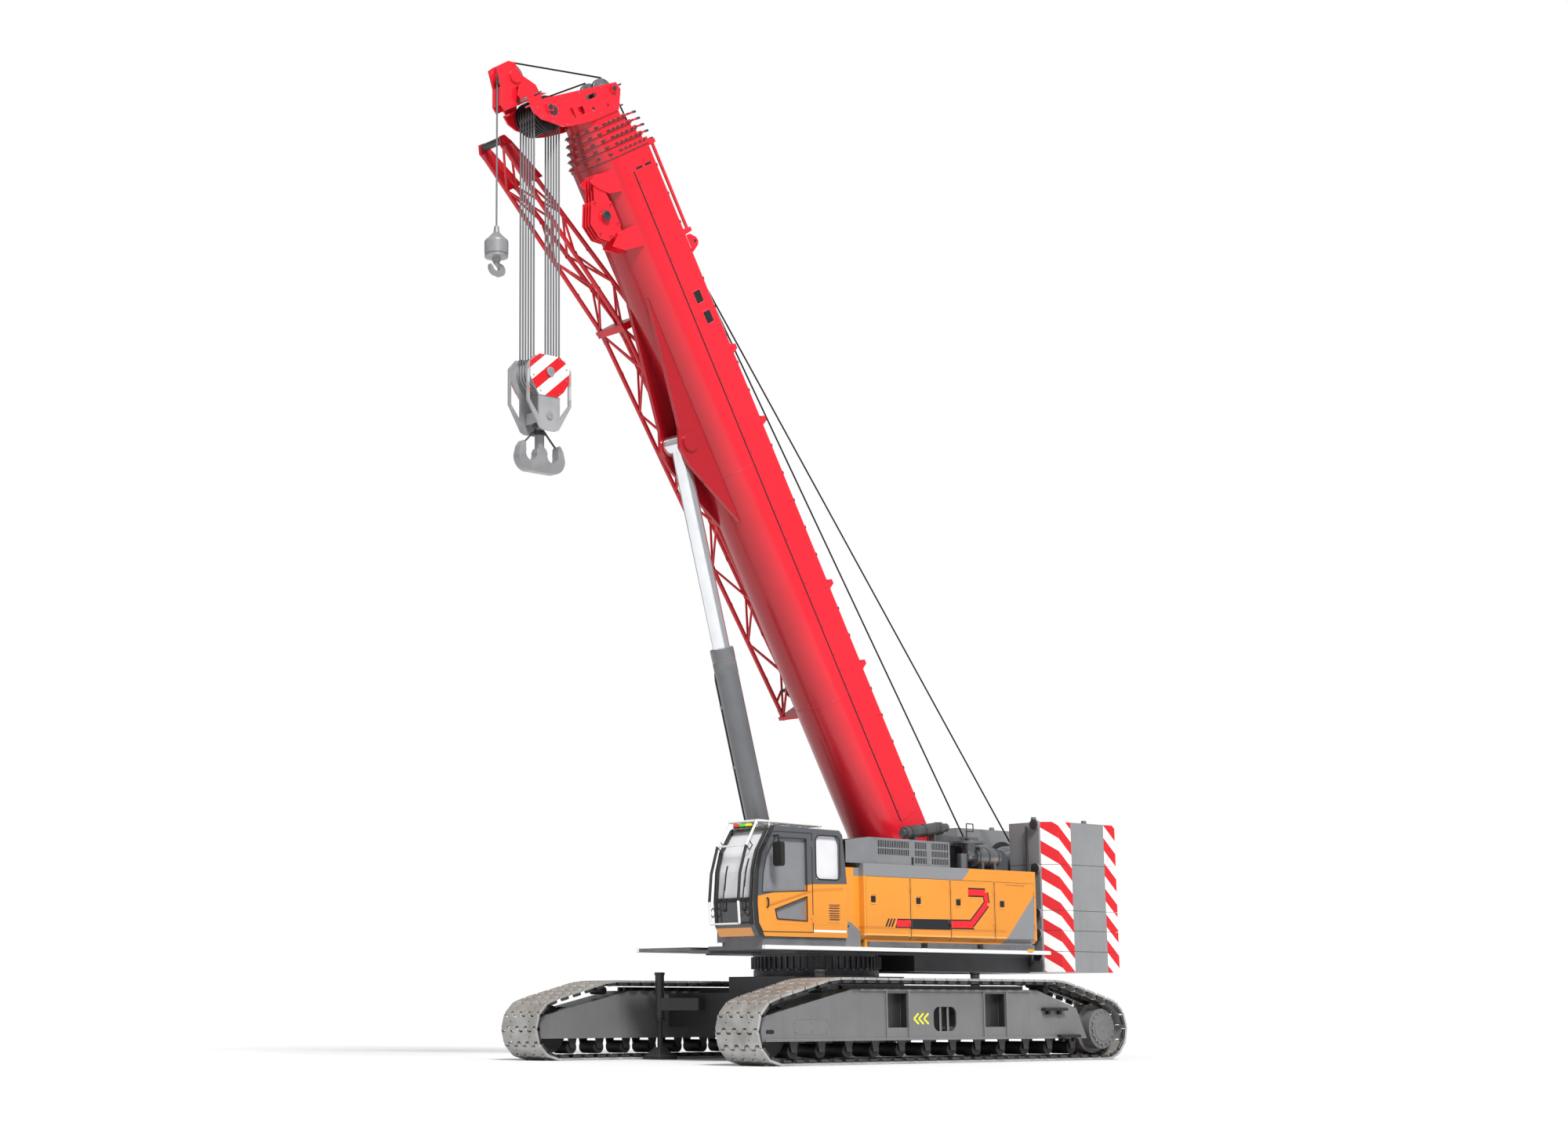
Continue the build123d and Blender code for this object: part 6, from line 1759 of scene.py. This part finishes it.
screenTrim = {
    "front": ((2.415, 2.097), (2.442, 2.455), (2.400, 2.937), (2.311, 3.242), (2.068, 3.604)),  # x and z
    "sealY": (0.665, 1.445), "sealOut": 0.004, "seal": 0.022, "barAt": (2.440, 2.470), "bar": 0.020,
    "wipers": ((0.86, 2.35, 3.02), (1.30, 2.35, 3.12)),  # y of the pivot, and the z it sweeps over
    "wiperLean": 0.06, "wiperOut": 0.035, "arm": 0.011, "blade": 0.013, "bladeIn": -0.010,
    "pivotOut": 0.015, "pivotDown": 0.01,
    "pivot": ((0.03, -0.02), (0.03, 0.01), (0.02, 0.02), (0.004, 0.021)),
}


def screenDetails(s, front):
    # black seals down the windscreen's two sides, and the bar between screen and lower pane
    seals = [carried(front + foreX * s["sealOut"] + acrossY * y, s["seal"], 8) for y in s["sealY"]]
    x, z = s["barAt"]
    seals.append(carried([(x, y, z) for y in s["sealY"]], s["bar"], 8))
    newPiece("screenSeals", seals, **cabRubber)
    # wipers: two arms with blades that lie on the screen
    arms, blades = [], []
    for y, low, high in s["wipers"]:
        z = np.linspace(low, high, 8)
        x = np.interp(z, front[:, 2], front[:, 0])
        line = np.column_stack([x + s["wiperOut"], y + s["wiperLean"] * (z - low), z])
        arms += [carried(line[:5], s["arm"], 6),
                 turned(s["pivot"], (x[0] + s["pivotOut"], y, low - s["pivotDown"]), foreX, 12)]
        blades.append(carried(line[3:] + foreX * s["bladeIn"], s["blade"], 6))
    newPiece("wipers", arms + blades, **cabRubber)


guardTrim = {
    "tubeY": (0.650, 1.300),
    "tube": ((2.540, 2.120), (2.565, 2.466), (2.520, 2.900), (2.380, 3.330), (2.140, 3.725)),
    "sleeve": 0.024, "sleeveOver": (3, 2, 1), "stubZ": (3.335, 2.300), "stubSpread": 0.05, "stub": 0.009,
    "stubIn": 0.004, "stubBow": 1.5,
}


def guardDetails(s, front):
    # black sleeves on the middle of the guard tubes, and the loops that hold them to the cab
    tube = np.array(s["tube"])
    sleeves = [carried([(*tube[i, :1], y, *tube[i, 1:]) for i in s["sleeveOver"]], s["sleeve"], 10)
               for y in s["tubeY"]]
    for y in s["tubeY"]:
        for z in s["stubZ"]:
            shell = float(np.interp(z, front[:, 2], front[:, 0]))
            out = float(np.interp(z, tube[:, 1], tube[:, 0]))
            for dz in (-s["stubSpread"], s["stubSpread"]):
                middle = ((shell + out) / 2, y, z + s["stubBow"] * dz)
                sleeves.append(carried([(shell - s["stubIn"], y, z), middle, (out, y, z)], s["stub"], 6))
    newPiece("guardSleeves", sleeves, **cabRubber)


doorSeals(doorTrim)
ventDetails(ventTrim)
doorHandle(doorTrim)
screenFront = np.array([(x, 0.0, z) for x, z in screenTrim["front"]])
screenDetails(screenTrim, screenFront)
guardDetails(guardTrim, screenFront)

# mirror: its head stands upright on the same bent arm
mirrorSettings = {
    "x": (2.020, 2.090), "y": (1.590, 1.790), "z": (3.000, 3.380), "round": 0.045, "bevel": 0.008,
    "radius": 0.014,
    "arm": ((1.980, 1.502, 3.480), (1.980, 1.556, 3.480), (2.055, 1.690, 3.480), (2.055, 1.690, 3.370)),
    "glassIn": (0.016, 0.018), "glassRound": 0.034, "glassX": (-0.0015, 0.002),
}


def mirrorHead(s):
    shell = slab(roundedBox(*s["y"], *s["z"], s["round"]), (0, 0, 0), acrossY, upZ, *s["x"])
    # the arm bends sharply at its corners, so each run is a rod of its own
    runs = [rodBetween(p, q, s["radius"], 10) for p, q in zip(s["arm"], s["arm"][1:])]
    head = newPiece("mirrorHead", [shell] + runs, "rubber", upper, "cab_trim", bevel=s["bevel"])
    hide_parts("mirror")
    (y0, y1), (z0, z1), (dy, dz) = s["y"], s["z"], s["glassIn"]
    glass = slab(roundedBox(y0 + dy, y1 - dy, z0 + dz, z1 - dz, s["glassRound"]), (0, 0, 0), acrossY, upZ,
                 *[s["x"][0] + dx for dx in s["glassX"]])
    newPiece("mirrorGlass", glass, "chrome", upper, "lamp")


mirrorHead(mirrorSettings)

roofSettings = {"x": (0.72, 2.14), "y": (0.65, 1.30), "z": (3.702, 3.727), "bays": 11, "radius": 0.0075,
                "lengths": 4, "lengthsIn": 0.13}


def roofMesh(s):
    # wires of the roof guard: a cross in each bay, and straight lengths between the two long tubes
    x, (y0, y1) = np.linspace(*s["x"], s["bays"] + 1), s["y"]
    z = np.linspace(*s["z"], s["bays"] + 1)
    ends = list(zip(x, z))
    wires = []
    for (a, za), (b, zb) in zip(ends, ends[1:]):
        wires += [((a, y0, za), (b, y1, zb)), ((b, y0, zb), (a, y1, za))]
    for y in np.linspace(y0 + s["lengthsIn"], y1 - s["lengthsIn"], s["lengths"]):
        wires.append(((x[0], y, z[0]), (x[-1], y, z[-1])))
    return [rodBetween(p, q, s["radius"], 5) for p, q in wires]


newPiece("roofMesh", roofMesh(roofSettings), "white", upper, "guard_white", smooth=True)

lampSettings = {"colours": ("#F0402A", "#54D83A", "#F4E52A"), "x": 2.090, "z": 3.672, "from": 0.72,
                "width": 0.14, "half": 0.022, "gap": 0.004, "high": 0.020, "tray": (2.060, 0.93, 3.665),
                "trayHalf": (0.022, 0.235, 0.032)}


def loadLamps(s):
    # three lamps that show the load's share of what the crane may lift, in one tray
    for index, colour in enumerate(s["colours"]):
        paint[f"loadLens{index + 1}"] = surfaceMaterial(f"litLoadLens{index + 1}", {
            "colour": colour, "worn": colour, "patchM": 0.03, "rough": (0.08, 0.16), "coat": 0.6,
            "edges": 0.0, "lit": 0.5})
        at = [(s["x"], s["from"] + s["width"] * (index + 0.5), s["z"])]
        newPiece(f"loadLamp{index + 1}", blocksAt(at, (s["half"], s["width"] / 2 - s["gap"], s["high"])),
                 f"loadLens{index + 1}", upper, "lamp")
    newPiece("lampTray", blocksAt([s["tray"]], s["trayHalf"]), "dark", upper, "cab_trim")


loadLamps(lampSettings)

# inside the cab: two levers with turned grips
leverSettings = {"places": ((1.20, 0.72), (1.20, 1.361)),
                 "bend": ((0.0, 2.555), (0.015, 2.66), (0.02, 2.74)),
                 "radius": 0.012, "gripAt": (0.02, 2.76),
                 "grip": ((0.012, -0.05), (0.026, -0.03), (0.030, 0.01), (0.022, 0.04), (0.004, 0.05))}


def cabLevers(s):
    levers = []
    for x, y in s["places"]:
        levers += [carried([(x + dx, y, z) for dx, z in s["bend"]], s["radius"], 8),
                   turned(s["grip"], (x + s["gripAt"][0], y, s["gripAt"][1]), upZ, 12)]
    return levers


newPiece("cabLevers", cabLevers(leverSettings), **cabRubber)
print("cab dressed")
